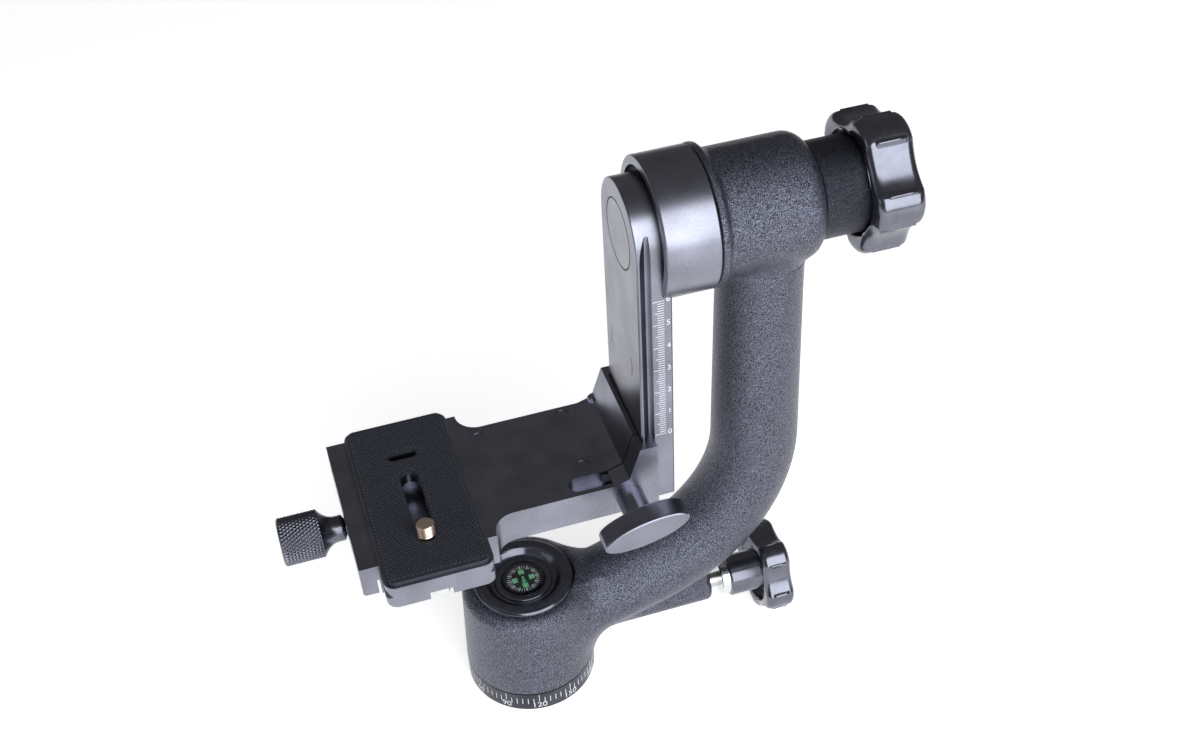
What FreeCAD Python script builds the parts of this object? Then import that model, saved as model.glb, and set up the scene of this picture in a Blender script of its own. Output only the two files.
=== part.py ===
import FreeCAD, Part
import math
import os

from FreeCAD import Vector

# Gimbal tripod head. Millimetres, +Z up.
# The origin is the centre of the base's underside, on the panning axis.
# +X points from the panning axis towards the arm's column and the tilt knob,
# +Y away from the viewer.

# Running clearances
running_fit = 0.05
slide_gap = 0.05
loose_gap = 0.3

# Turned base with the degree ring
base_radius = 25.5
base_height = 9.5
base_edge = 0.6
tripod_thread_radius = 3.97
spindle_flange_radius = 13.9
spindle_flange_thick = 3.0
base_screw_count = 3
base_screw_circle = 9.6
base_screw_radius = 1.75
base_screw_head_radius = 3.4
base_screw_socket_radius = 1.5
base_screw_socket_depth = 1.7
thrust_washer_inner = 15.5
thrust_washer_outer = 23.0
thrust_washer_thick = 1.2
casting_seam = 0.4

# Panning spindle, its bearing and its retaining bolt
journal_radius = 11.0
journal_top = 27.0
spindle_neck_radius = 8.5
spindle_top = 36.9
tripod_relief_radius = 5.0
tripod_relief_top = 18.0
spindle_bolt_radius = 3.0
spindle_bolt_depth = 13.0
bolt_head_radius = 5.0
bolt_head_height = 5.0
bolt_socket_radius = 2.9
bolt_socket_depth = 3.0
spindle_washer_radius = 10.3
spindle_washer_thick = 1.6
pan_bearing_low = 30.0
pan_bearing_wide = 7.0
pan_bearing_outer_radius = 15.0
race_wall = 2.1
ball_radius = 1.9
pan_ball_count = 12

# Socket of the arm casting over the spindle
socket_overhang = 0.1
socket_draft = 1.4
socket_shoulder_width = 3.6
socket_round = 3.9
socket_shoulder = 46.2
socket_top = 49.8
socket_bore_radius = 12.0
cap_bore_radius = 17.5
cap_bore_low = 45.4

socket_radius = base_radius + socket_overhang
socket_top_radius = socket_radius - socket_draft
socket_lip_radius = socket_top_radius - socket_shoulder_width

# Dished cap and compass
cap_radius = 19.5
cap_height = 51.5
cap_spigot_length = 4.3
cap_lip_inner = 15.6
cap_dish_radius = 12.6
cap_dish_depth = 2.9
cap_disc_radius = 11.2
cap_disc_rise = 1.2
cap_edge_round = 0.8
cap_relief_depth = 0.8
compass_radius = 8.3
compass_cup_depth = 3.2
compass_cup_wall = 0.7
compass_cup_floor = 0.8
compass_pin_radius = 0.4
compass_pin_tip = 0.1
compass_pin_point = 0.4
compass_card_radius = 6.7
compass_card_thick = 0.4
compass_card_rise = 1.6
compass_dome_rise = 1.9
compass_dome_wall = 0.7
compass_rim_rise = 0.5

# Column, bend and foot of the arm
column_x = 94.3
column_radius = 16.4
column_top_radius = 15.5
bend_radius = 63.6
bend_angle = 71.0
bend_centre_height = 100.5
foot_radius = 15.6
column_taper_height = 170.0

# Panning lock: boss under the bend, stud, collar and star knob
pan_lock_height = 18.9
pan_boss_radius = 7.2
pan_boss_end = 76.0
pan_boss_start = 10.0
pan_web_half = 6.2
pan_web_top = 46.0
pan_boss_round = 2.0
pan_stud_radius = 2.95
pan_pad_length = 3.4
pan_collar_start = 80.7
pan_collar_length = 3.5
pan_collar_radius = 6.9
pan_collar_round = 0.6
pan_hub_radius = 8.3
pan_hub_end = 95.6
pan_hub_round = 0.6
pan_knob_radius = 19.0
pan_knob_end = 107.4
pan_knob_phase = -11.0
pan_knob_valley = 3.2
pan_knob_round = 2.6
pan_knob_recess = 13.0
pan_knob_recess_depth = 4.5

# Barrel at the top of the arm, on the tilt axis
tilt_height = 204.3
barrel_start = 71.8
flange_radius = 24.7
flange_end = 74.6
waist_start = 76.6
barrel_radius = 22.0
barrel_end = 111.0
barrel_round = 7.0
barrel_fillet = 4.0
seam_margin = 1.0
flange_round = 1.4
friction_radius = 19.0
friction_inner = 14.6
friction_thick = 1.5
tilt_axle_radius = 7.5
tilt_bearing_radius = 14.0
tilt_bearing_wide = 7.0
tilt_bearing_inset = 2.2
tilt_bore_radius = 11.0
tilt_ball_count = 12
axle_thread_radius = 5.0
sleeve_radius = 17.0
sleeve_end = 127.6
sleeve_round = 0.8
sleeve_spigot = 1.6

# Tilt knob
tilt_knob_radius = 25.5
tilt_knob_start = 125.6
tilt_knob_end = 143.0
tilt_knob_phase = 5.0
tilt_knob_valley = 4.4
tilt_knob_round = 3.4
tilt_knob_recess = 18.4
tilt_knob_recess_depth = 7.0
knob_lobes = 5
knob_lobe_half_angle = 14.0
knob_lobe_drop = 0.04
knob_ridge_round = 0.9
knob_insert_radius = 8.0
knob_insert_length = 8.0
tilt_washer_thick = 1.0
axle_tip = 139.0

# Swing collar and rail
collar_radius = 24.5
collar_start = 52.5
collar_end = 71.5
collar_round = 0.7
collar_recess_radius = 21.3
rail_front = 44.0
rail_back = 56.0
rail_half = 19.0
rail_bottom = 97.2
rail_lip = 1.0
rail_groove_depth = 2.4
rail_groove_end = 48.8
rail_edge = 0.5
rail_cover_radius = 12.2
rail_cover_thick = 1.2
rail_cover_round = 0.25
axle_bolt_radius = 4.0
axle_bolt_head_radius = 6.4
axle_bolt_head = 6.0
axle_bolt_web = 2.6
axle_bolt_grip = 16.0
axle_bolt_socket_radius = 2.9
axle_bolt_socket_depth = 3.0
axle_seat = 58.4
axle_flange_radius = 12.0
axle_flange_thick = 3.0
dowel_radius = 1.5
dowel_circle = 9.2
dowel_length = 9.0
dowel_depth = 5.0

# Platform that rides on the rail
deck_top = 112.1
deck_thick = 13.8
deck_half = 23.2
wall_foot_x = 32.0
wall_step_x = 37.7
wall_step_rise = 1.8
wall_crest_x = 42.0
wall_crest_z = 126.8
wall_near_y = -14.5
fixed_jaw_y = 14.6
hook_end_x = 48.5
pocket_start_x = 20.0
pocket_far_y = -14.5
pocket_near_y = -21.3
pocket_depth = 3.6
tongue_far_y = -15.6
tongue_near_y = -19.2
tongue_start_x = 29.5
tongue_low = 3.0
tongue_thick = 1.8
moving_jaw_y = -15.0
jaw_pin_radius = 1.2
jaw_pin_x = 34.0
jaw_pin_low = 100.8
jaw_pin_high = 121.0
jaw_pin_high_x = 41.9
jaw_pin_grip = 8.0
jaw_pin_reach = 5.0
jaw_screw_radius = 1.6
jaw_screw_head_radius = 2.9
jaw_screw_head = 2.6
jaw_screw_x = 38.6
jaw_screw_low = 103.5
jaw_screw_high = 112.5
jaw_screw_length = 12.0
jaw_socket_radius = 1.6
jaw_socket_depth = 1.6
deck_plug_spots = ((24.4, -9.3), (24.9, 18.8), (-7.8, 17.5))
plug_radius = 2.8
plug_thick = 2.4
plug_sink = 0.25

# Wing knob that pulls the moving rail jaw
wing_x = 37.6
wing_z = 105.4
wing_screw_radius = 2.5
wing_screw_grip = 14.0
wing_neck_radius = 5.1
wing_neck_length = 11.6
wing_depth = 8.6
wing_length = 32.1
wing_height = 11.2
wing_tilt = 13.0
wing_rise = 0.8
wing_edge = 0.9
jaw_spring_radius = 3.5
jaw_spring_wire = 0.35
jaw_spring_turns = 3.5
jaw_spring_length = 5.0
spring_room = 0.4

# Quick-release clamp
clamp_centre_x = -36.1
jaw_half_length = 31.8
clamp_floor = 105.35
fixed_clamp_edge = -13.3
cove_radius = 8.0
moving_clamp_edge = -61.9
clamp_body_edge = -55.4
clamp_jaw_bottom = 98.9
clamp_jaw_bevel = 0.9
nose_reach = 16.95
nose_flank = 1.5
clamp_screw_z = 101.8
clamp_screw_radius = 2.95
clamp_screw_grip = 22.0
clamp_pin_radius = 2.0
clamp_pin_y = 20.0
clamp_pin_grip = 12.0
clamp_pin_reach = 4.6
clamp_spring_radius = 2.75
clamp_spring_wire = 0.3
clamp_spring_turns = 5.0
clamp_spring_length = 7.0
clamp_opening = 1.0
clamp_knob_start = -85.6
clamp_knob_end = -70.6
clamp_knob_radius = 8.7
clamp_knob_neck = 4.7
clamp_knob_cone = 4.7
clamp_screw_inset = 4.35
clamp_knob_bevel = 0.8

# Quick-release plate
plate_half = 19.0
plate_near = -46.1
plate_far = 33.0
plate_bottom = 105.4
plate_notch_z = 110.5
plate_notch = 2.2
plate_top = 114.8
plate_corner = 4.0
pad_thick = 1.4
pad_inset = 1.2
slot_x = -36.6
slot_half = 3.3
slot_near = -26.9
slot_far = 1.6
screw_channel_half = 7.2
screw_channel_roof = 111.0
end_channel_half = 4.0
end_channel_depth = 3.0
anchor_slot_y = 13.8
anchor_slot_half = 1.9
anchor_slot_run = 5.2
stop_screw_y = -42.3
stop_screw_radius = 3.3
stop_screw_head = 4.65
stop_screw_round = 1.1
stop_socket_radius = 1.5
stop_socket_depth = 1.5
stop_screw_shank = 1.5
stop_screw_grip = 4.0

# Camera screw
stud_radius = 3.175
stud_top = 121.8
stud_neck_radius = 2.6
stud_neck_rise = 0.1
screw_head_radius = 6.4
screw_head_low = 106.0
screw_head_high = 109.4
screw_slot_wide = 1.6
screw_slot_deep = 1.6
clip_radius = 5.2
clip_thick = 0.8
stud_edge = 0.5

UP = Vector(0, 0, 1)
RIGHT = Vector(1, 0, 0)
AWAY = Vector(0, 1, 0)


def cylinder_x(radius, start, end, y=0.0, z=0.0):
    """Round bar along X."""
    return Part.makeCylinder(radius, end - start, Vector(start, y, z), RIGHT)


def cylinder_y(radius, start, end, x=0.0, z=0.0):
    """Round bar along Y."""
    return Part.makeCylinder(radius, end - start, Vector(x, start, z), AWAY)


def cylinder_z(radius, start, end, x=0.0, y=0.0):
    """Round bar along Z."""
    return Part.makeCylinder(radius, end - start, Vector(x, y, start), UP)


def block(x_low, x_high, y_low, y_high, z_low, z_high):
    """Rectangular block between two corners."""
    corner = Vector(x_low, y_low, z_low)
    return Part.makeBox(x_high - x_low, y_high - y_low, z_high - z_low, corner)


def face_of(points):
    """Flat face through a closed list of corner points."""
    return Part.Face(Part.makePolygon(points + [points[0]]))


def turned_x(profile, height):
    """Solid turned about the X axis at the given height, from (x, radius) corners."""
    points = [Vector(x, 0, height + radius) for x, radius in profile]
    return face_of(points).revolve(Vector(0, 0, height), RIGHT, 360)


def turned_z(profile):
    """Solid turned about the Z axis, from (radius, z) corners."""
    points = [Vector(radius, 0, z) for radius, z in profile]
    return face_of(points).revolve(Vector(0, 0, 0), UP, 360)


def extruded_y(outline, y_low, y_high):
    """Prism along Y from an outline of (x, z) corners."""
    points = [Vector(x, y_low, z) for x, z in outline]
    return face_of(points).extrude(Vector(0, y_high - y_low, 0))


def rounded(shape, radius, wanted):
    """Rounds the edges for which the test holds."""
    return shape.makeFillet(radius, [edge for edge in shape.Edges if wanted(edge)])


def circle_at(edge, axis, place, radius=None):
    """True for a full circular edge that lies at a place along the named axis."""
    curve = edge.Curve
    if not isinstance(curve, Part.Circle):
        return False
    at_place = abs(getattr(curve.Center, axis) - place) < 0.01
    return at_place and (radius is None or abs(curve.Radius - radius) < 0.01)


def slot_z(x, y_low, y_high, half_width, z_low, z_high):
    """Round-ended slot that runs along Y."""
    middle = block(x - half_width, x + half_width, y_low, y_high, z_low, z_high)
    ends = [cylinder_z(half_width, z_low, z_high, x, y) for y in (y_low, y_high)]
    return middle.fuse(ends)


def hexagon_pocket(radius, start, depth, centre, axis):
    """Hexagonal socket cut from a point along an axis."""
    side = Vector(axis.y, axis.z, axis.x)
    turn = FreeCAD.Rotation(axis, 60)
    points = [side * radius]
    for _ in range(5):
        points.append(turn.multVec(points[-1]))
    origin = centre + axis * start
    return face_of([origin + point for point in points]).extrude(axis * depth)


def star_outline(radius, valley, phase):
    """Closed wire of a star knob in the YZ plane: round lobes joined by shallow scallops."""
    pitch = 360.0 / knob_lobes
    low = radius - valley
    ridge = radius * (1 - knob_lobe_drop)

    def spot(angle, distance):
        turn = math.radians(angle)
        return Vector(0, -distance * math.cos(turn), distance * math.sin(turn))

    edges = []
    for lobe in range(knob_lobes):
        centre = phase + lobe * pitch
        left = centre - knob_lobe_half_angle
        right = centre + knob_lobe_half_angle
        crest = Part.Arc(spot(left, ridge), spot(centre, radius), spot(right, ridge))
        scallop_end = centre + pitch - knob_lobe_half_angle
        dip = spot(centre + pitch / 2, low)
        scallop = Part.Arc(spot(right, ridge), dip, spot(scallop_end, ridge))
        edges.extend([crest.toShape(), scallop.toShape()])
    return Part.Wire(edges)


def star_knob(radius, valley, phase, start, end, edge_round, height):
    """Lobed knob body along X with rounded ridges and rounded faces."""
    outline = star_outline(radius, valley, phase)
    outline.translate(Vector(start, 0, height))
    body = Part.Face(outline).extrude(Vector(end - start, 0, 0))
    body = rounded(body, knob_ridge_round, lambda e: len(e.Vertexes) == 2 and is_along_x(e))
    return rounded(body, edge_round, lambda e: not is_along_x(e))


def is_along_x(edge):
    """True for a straight edge parallel to X."""
    first = edge.Vertexes[0].Point
    last = edge.Vertexes[-1].Point
    return abs(first.x - last.x) > 0.5


def helix_wire(radius, pitch, turns, start, axis, side):
    """Wire of a helix, as quarter-turn arcs that follow it closely."""
    across = axis.cross(side)
    steps = int(round(turns * 4))

    def spot(step):
        turn = math.pi / 2 * step
        round_part = side * math.cos(turn) + across * math.sin(turn)
        return start + round_part * radius + axis * (pitch * step / 4.0)

    arcs = [Part.Arc(spot(k), spot(k + 0.5), spot(k + 1)).toShape() for k in range(steps)]
    return Part.Wire(arcs)


def coil(radius, wire, length, turns, start, axis, side):
    """Compression spring as one round tube along a helix."""
    run = length - 2 * wire
    path = helix_wire(radius, run / turns, turns, start + axis * wire, axis, side)
    first = path.Edges[0]
    tangent = first.tangentAt(first.FirstParameter)
    ring = Part.Circle(first.valueAt(first.FirstParameter), tangent, wire)
    section = Part.Wire(ring.toShape())
    return path.makePipeShell([section], True, False)


def race_groove_x(circle, x, height):
    """Torus that cuts the ball track of a bearing on the X axis."""
    return Part.makeTorus(circle, ball_radius + running_fit, Vector(x, 0, height), RIGHT)


def ball_ring(circle, count, centre, axis, side):
    """Balls of one bearing, spaced round its axis."""
    across = axis.cross(side)
    balls = []
    for number in range(count):
        turn = 2 * math.pi * number / count
        place = centre + (side * math.cos(turn) + across * math.sin(turn)) * circle
        balls.append(Part.makeSphere(ball_radius, place))
    return Part.makeCompound(balls)


def base_screw_spots():
    """Places of the screws that hold the spindle to the base."""
    spots = []
    for number in range(base_screw_count):
        turn = 2 * math.pi * number / base_screw_count + math.pi / 2
        spots.append((base_screw_circle * math.cos(turn), base_screw_circle * math.sin(turn)))
    return spots


def countersunk_screw(x, y, radius, head_radius, low, high):
    """Countersunk screw along Z with its head at the low end."""
    cone = Part.makeCone(head_radius, radius, head_radius - radius, Vector(x, y, low), UP)
    return cone.fuse(cylinder_z(radius, low, high, x, y)).removeSplitter()


# Base

spindle_low = base_height - spindle_flange_thick


def base_plate():
    """Turned disc with the degree ring, the tripod thread and a seat for the spindle."""
    disc = turned_z([(0, 0), (base_radius - base_edge, 0), (base_radius, base_edge),
                     (base_radius, base_height), (0, base_height)])
    cuts = [cylinder_z(tripod_thread_radius, 0, base_height),
            cylinder_z(spindle_flange_radius, spindle_low, base_height)]
    for x, y in base_screw_spots():
        cuts.append(countersunk_screw(x, y, base_screw_radius, base_screw_head_radius,
                                      0, base_height))
    return disc.cut(cuts)


def pan_spindle():
    """Steel post that the arm turns on."""
    post = turned_z([(0, spindle_low), (spindle_flange_radius, spindle_low),
                     (spindle_flange_radius, base_height), (journal_radius, base_height),
                     (journal_radius, journal_top), (spindle_neck_radius, journal_top),
                     (spindle_neck_radius, spindle_top), (0, spindle_top)])
    cuts = [cylinder_z(tripod_relief_radius, spindle_low, tripod_relief_top),
            cylinder_z(spindle_bolt_radius, spindle_top - spindle_bolt_depth, spindle_top)]
    for x, y in base_screw_spots():
        cuts.append(cylinder_z(base_screw_radius, spindle_low, base_height, x, y))
    return post.cut(cuts)


def base_screws():
    """Countersunk screws from below that hold the spindle."""
    screws = []
    for x, y in base_screw_spots():
        screw = countersunk_screw(x, y, base_screw_radius, base_screw_head_radius,
                                  0, base_height)
        socket = hexagon_pocket(base_screw_socket_radius, 0, base_screw_socket_depth,
                                Vector(x, y, 0), UP)
        screws.append(screw.cut(socket))
    return Part.makeCompound(screws)


def thrust_washer():
    """Nylon ring that the casting slides round on."""
    top = base_height + thrust_washer_thick
    ring = cylinder_z(thrust_washer_outer, base_height, top)
    return ring.cut(cylinder_z(thrust_washer_inner, base_height, top))


washer_low = pan_bearing_low + pan_bearing_wide
bolt_head_low = washer_low + spindle_washer_thick


def spindle_washer():
    """Thick washer over the bearing's inner race."""
    ring = cylinder_z(spindle_washer_radius, washer_low, bolt_head_low)
    return ring.cut(cylinder_z(spindle_bolt_radius, washer_low, bolt_head_low))


def spindle_bolt():
    """Socket bolt that keeps the arm on its spindle."""
    shank = cylinder_z(spindle_bolt_radius, spindle_top - spindle_bolt_depth, bolt_head_low)
    top = bolt_head_low + bolt_head_height
    head = cylinder_z(bolt_head_radius, bolt_head_low, top)
    socket = hexagon_pocket(bolt_socket_radius, top - bolt_socket_depth, bolt_socket_depth,
                            Vector(0, 0, 0), UP)
    return shank.fuse(head).cut(socket).removeSplitter()


pan_ball_circle = (spindle_neck_radius + pan_bearing_outer_radius) / 2
pan_bearing_middle = pan_bearing_low + pan_bearing_wide / 2


def pan_race(inner, outer):
    """One race of the panning bearing, with its ball track."""
    ring = cylinder_z(outer, pan_bearing_low, pan_bearing_low + pan_bearing_wide)
    ring = ring.cut(cylinder_z(inner, pan_bearing_low, pan_bearing_low + pan_bearing_wide))
    track = Part.makeTorus(pan_ball_circle, ball_radius + running_fit,
                           Vector(0, 0, pan_bearing_middle), UP)
    return ring.cut(track)


def pan_bearing_inner():
    """Inner race, on the spindle."""
    return pan_race(spindle_neck_radius, spindle_neck_radius + race_wall)


def pan_bearing_outer():
    """Outer race, in the casting."""
    return pan_race(pan_bearing_outer_radius - race_wall, pan_bearing_outer_radius)


def pan_bearing_balls():
    """Balls of the panning bearing."""
    return ball_ring(pan_ball_circle, pan_ball_count, Vector(0, 0, pan_bearing_middle),
                     UP, RIGHT)


# Arm casting

foot_slope = math.radians(90 - bend_angle)
bend_centre_x = column_x - bend_radius


def bend_spot(angle):
    """Point of the arm's centre line on the bend, at an angle below horizontal."""
    turn = math.radians(angle)
    return Vector(bend_centre_x + bend_radius * math.cos(turn), 0,
                  bend_centre_height - bend_radius * math.sin(turn))


bend_end = bend_spot(bend_angle)
foot_end = Vector(0, 0, bend_end.z - bend_end.x * math.tan(foot_slope))


def ring_at(centre, direction, radius):
    """Circle square to the centre line."""
    return Part.Wire(Part.Circle(centre, direction, radius).toShape())


def arm_tube():
    """Bent arm: foot, bend and tapered column, lofted through circles."""
    low = Vector(column_x, 0, bend_centre_height)
    middle = Vector(column_x, 0, column_taper_height)
    top = Vector(column_x, 0, tilt_height)
    foot = Part.makeLoft([ring_at(foot_end, foot_end - bend_end, foot_radius),
                          ring_at(bend_end, foot_end - bend_end, column_radius)], True)
    arc = Part.Arc(bend_end, bend_spot(bend_angle / 2), low)
    path = Part.Wire(arc.toShape())
    bend = path.makePipeShell([ring_at(low, UP, column_radius)], True, False)
    column = Part.makeLoft([ring_at(low, UP, column_radius),
                            ring_at(middle, UP, column_top_radius),
                            ring_at(top, UP, column_top_radius)], True, True)
    return foot.fuse([bend, column])


def barrel():
    """Barrel with its flange beside the collar and its rounded far end."""
    body = turned_x([(barrel_start, 0), (barrel_start, flange_radius),
                     (flange_end, flange_radius), (waist_start, barrel_radius),
                     (barrel_end, barrel_radius), (barrel_end, 0)], tilt_height)
    body = rounded(body, barrel_round, lambda e: circle_at(e, "x", barrel_end, barrel_radius))
    return rounded(body, flange_round, lambda e: circle_at(e, "x", flange_end, flange_radius))


def socket_body():
    """Socket that covers the spindle, slightly tapered, with a round shoulder."""
    low = base_height + casting_seam
    body = turned_z([(0, low), (socket_radius, low), (socket_top_radius, socket_shoulder),
                     (socket_lip_radius, socket_top), (0, socket_top)])
    shoulder = (socket_shoulder, socket_top_radius)
    return rounded(body, socket_round,
                   lambda e: circle_at(e, "z", shoulder[0], shoulder[1]))


def lock_web():
    """Web between the arm's foot and the boss of the panning lock."""
    return block(pan_boss_start, pan_boss_end - pan_boss_round, -pan_web_half,
                 pan_web_half, pan_lock_height, pan_web_top)


def arm_limb():
    """Bent tube with the boss of the panning lock under its foot."""
    boss = cylinder_x(pan_boss_radius, pan_boss_start, pan_boss_end, 0, pan_lock_height)
    boss = rounded(boss, pan_boss_round, lambda e: circle_at(e, "x", pan_boss_end))
    return arm_tube().fuse([lock_web(), boss])


def is_column_seam(edge):
    """True where the column runs into the underside of the barrel."""
    box = edge.BoundBox
    return (box.XMin > waist_start and box.ZMax < tilt_height - tilt_bore_radius
            and box.ZMin > tilt_height - barrel_radius - seam_margin)


def arm_casting():
    """One casting: socket, bent arm, barrel and lock boss, with all its bores."""
    low = base_height + casting_seam
    body = socket_body().fuse(arm_limb())
    body = body.cut(block(-base_radius, column_x, -base_radius, base_radius, 0, low))
    body = body.fuse(barrel()).removeSplitter()
    body = rounded(body, barrel_fillet, is_column_seam)
    cuts = [cylinder_z(journal_radius + running_fit, low, journal_top + 2 * running_fit),
            cylinder_z(thrust_washer_outer + running_fit, low,
                       base_height + thrust_washer_thick + running_fit),
            cylinder_z(socket_bore_radius, journal_top, pan_bearing_low),
            cylinder_z(pan_bearing_outer_radius, pan_bearing_low, socket_top),
            cylinder_z(cap_bore_radius, cap_bore_low, socket_top),
            cylinder_x(pan_stud_radius + running_fit, 0, pan_boss_end, 0, pan_lock_height)]
    cuts += [cylinder_x(tilt_bearing_radius, barrel_start, left_bearing + tilt_bearing_wide,
                        0, tilt_height),
             cylinder_x(tilt_bore_radius, barrel_start, barrel_end, 0, tilt_height),
             cylinder_x(tilt_bearing_radius, right_bearing, barrel_end, 0, tilt_height),
             cylinder_x(friction_radius, barrel_start, friction_floor, 0, tilt_height)]
    return body.cut(cuts)


friction_floor = collar_end + running_fit + friction_thick
left_bearing = friction_floor + tilt_bearing_inset
right_bearing = barrel_end - sleeve_spigot - tilt_bearing_wide


def pan_lock_pad():
    """Brass pad that the lock stud presses on the spindle."""
    start = journal_radius + 2 * running_fit
    return cylinder_x(pan_stud_radius, start, start + pan_pad_length, 0, pan_lock_height)


# Cap and compass

cap_seat = cap_height - cap_dish_depth + cap_disc_rise
compass_low = cap_seat - compass_cup_depth


def compass_cap():
    """Dished cap with a round lip and a raised disc that holds the compass."""
    low = socket_top - cap_spigot_length
    lip_middle = (cap_lip_inner + cap_radius) / 2
    body = turned_z([(0, low), (cap_bore_radius, low), (cap_bore_radius, socket_top),
                     (cap_radius, socket_top), (cap_radius, cap_height - cap_edge_round),
                     (lip_middle, cap_height), (cap_lip_inner, cap_height - cap_edge_round),
                     (cap_dish_radius, cap_height - cap_dish_depth),
                     (cap_disc_radius, cap_height - cap_dish_depth),
                     (cap_disc_radius, cap_seat), (0, cap_seat)])
    body = rounded(body, cap_edge_round,
                   lambda e: circle_at(e, "z", cap_height, lip_middle))
    hollow = cylinder_z(spindle_washer_radius, low, low + cap_relief_depth)
    return body.cut([cylinder_z(compass_radius, compass_low, cap_seat), hollow])


def compass_cup():
    """Black cup of the compass, pressed into the cap."""
    cup = cylinder_z(compass_radius, compass_low, cap_seat)
    inside = compass_radius - compass_cup_wall
    return cup.cut(cylinder_z(inside, compass_low + compass_cup_floor, cap_seat))


card_low = compass_low + compass_cup_floor + compass_card_rise


def compass_pin():
    """Steel needle that the card turns on."""
    floor = compass_low + compass_cup_floor
    shank_top = card_low - compass_pin_point
    shank = cylinder_z(compass_pin_radius, floor, shank_top)
    point = Part.makeCone(compass_pin_radius, compass_pin_tip, compass_pin_point,
                          Vector(0, 0, shank_top), UP)
    return shank.fuse(point).removeSplitter()


def compass_card():
    """Floating card of the compass."""
    return cylinder_z(compass_card_radius, card_low + running_fit,
                      card_low + running_fit + compass_card_thick)


def dome_cap(radius, low, rise):
    """Shallow spherical cap on a flat base."""
    ball_size = (radius * radius + rise * rise) / (2 * rise)
    ball = Part.makeSphere(ball_size, Vector(0, 0, low + rise - ball_size))
    return ball.common(cylinder_z(radius, low, low + rise))


def compass_dome():
    """Clear domed window over the card."""
    rim_top = cap_seat + compass_rim_rise
    rim = cylinder_z(compass_radius, cap_seat, rim_top)
    outer = rim.fuse(dome_cap(compass_radius, rim_top, compass_dome_rise))
    inner_radius = compass_radius - compass_dome_wall
    inside = cylinder_z(inner_radius, cap_seat, rim_top)
    inside = inside.fuse(dome_cap(inner_radius, rim_top, compass_dome_rise - compass_dome_wall))
    return outer.cut(inside).removeSplitter()


# Panning lock

def pan_lock_stud():
    """Steel stud from the knob through the boss to the pad."""
    start = journal_radius + 3 * running_fit + pan_pad_length
    return cylinder_x(pan_stud_radius, start, pan_hub_end, 0, pan_lock_height)


def pan_lock_collar():
    """Bright collar between the boss and the knob's hub."""
    end = pan_collar_start + pan_collar_length
    ring = cylinder_x(pan_collar_radius, pan_collar_start, end, 0, pan_lock_height)
    ring = rounded(ring, pan_collar_round, lambda e: circle_at(e, "x", pan_collar_start))
    return ring.cut(cylinder_x(pan_stud_radius, pan_collar_start, end, 0, pan_lock_height))


def pan_lock_knob():
    """Star knob with a long hub."""
    hub_start = pan_collar_start + pan_collar_length
    body = star_knob(pan_knob_radius, pan_knob_valley, pan_knob_phase, pan_hub_end,
                     pan_knob_end, pan_knob_round, pan_lock_height)
    recess = cylinder_x(pan_knob_recess, pan_hub_end, pan_hub_end + pan_knob_recess_depth,
                        0, pan_lock_height)
    hub = cylinder_x(pan_hub_radius, hub_start, pan_knob_end - pan_knob_round,
                     0, pan_lock_height)
    hub = rounded(hub, pan_hub_round, lambda e: circle_at(e, "x", hub_start))
    body = body.cut(recess).fuse(hub)
    return body.cut(cylinder_x(pan_stud_radius, hub_start, pan_hub_end,
                               0, pan_lock_height)).removeSplitter()


# Tilt bearings, axle, sleeve and knob

tilt_ball_circle = (tilt_axle_radius + tilt_bearing_radius) / 2
bearing_starts = (left_bearing, right_bearing)


def tilt_races(inner, outer):
    """The same race of both tilt bearings."""
    races = []
    for start in bearing_starts:
        end = start + tilt_bearing_wide
        ring = cylinder_x(outer, start, end, 0, tilt_height)
        ring = ring.cut(cylinder_x(inner, start, end, 0, tilt_height))
        middle = start + tilt_bearing_wide / 2
        races.append(ring.cut(race_groove_x(tilt_ball_circle, middle, tilt_height)))
    return Part.makeCompound(races)


def tilt_bearing_inners():
    """Inner races, on the axle."""
    return tilt_races(tilt_axle_radius, tilt_axle_radius + race_wall)


def tilt_bearing_outers():
    """Outer races, in the barrel."""
    return tilt_races(tilt_bearing_radius - race_wall, tilt_bearing_radius)


def tilt_bearing_balls():
    """Balls of both tilt bearings."""
    rings = []
    for start in bearing_starts:
        centre = Vector(start + tilt_bearing_wide / 2, 0, tilt_height)
        ring = ball_ring(tilt_ball_circle, tilt_ball_count, centre, RIGHT, UP)
        rings.extend(ring.Solids)
    return Part.makeCompound(rings)


def friction_washer():
    """Friction ring between the barrel and the swing collar."""
    start = collar_end + running_fit
    ring = cylinder_x(friction_radius, start, friction_floor, 0, tilt_height)
    return ring.cut(cylinder_x(friction_inner, start, friction_floor, 0, tilt_height))


sleeve_bore = tilt_axle_radius + running_fit
axle_shoulder = barrel_end + sleeve_spigot


def thrust_sleeve():
    """Textured sleeve between the barrel and the tilt knob."""
    start = barrel_end - sleeve_spigot
    body = cylinder_x(sleeve_radius, barrel_end, sleeve_end, 0, tilt_height)
    body = rounded(body, sleeve_round, lambda e: circle_at(e, "x", sleeve_end))
    body = body.fuse(cylinder_x(tilt_bearing_radius, start, barrel_end, 0, tilt_height))
    cuts = [cylinder_x(tilt_ball_circle, start, barrel_end, 0, tilt_height),
            cylinder_x(sleeve_bore, start, axle_shoulder + running_fit, 0, tilt_height),
            cylinder_x(axle_thread_radius + running_fit, start, sleeve_end, 0, tilt_height)]
    return body.cut(cuts).removeSplitter()


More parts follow.
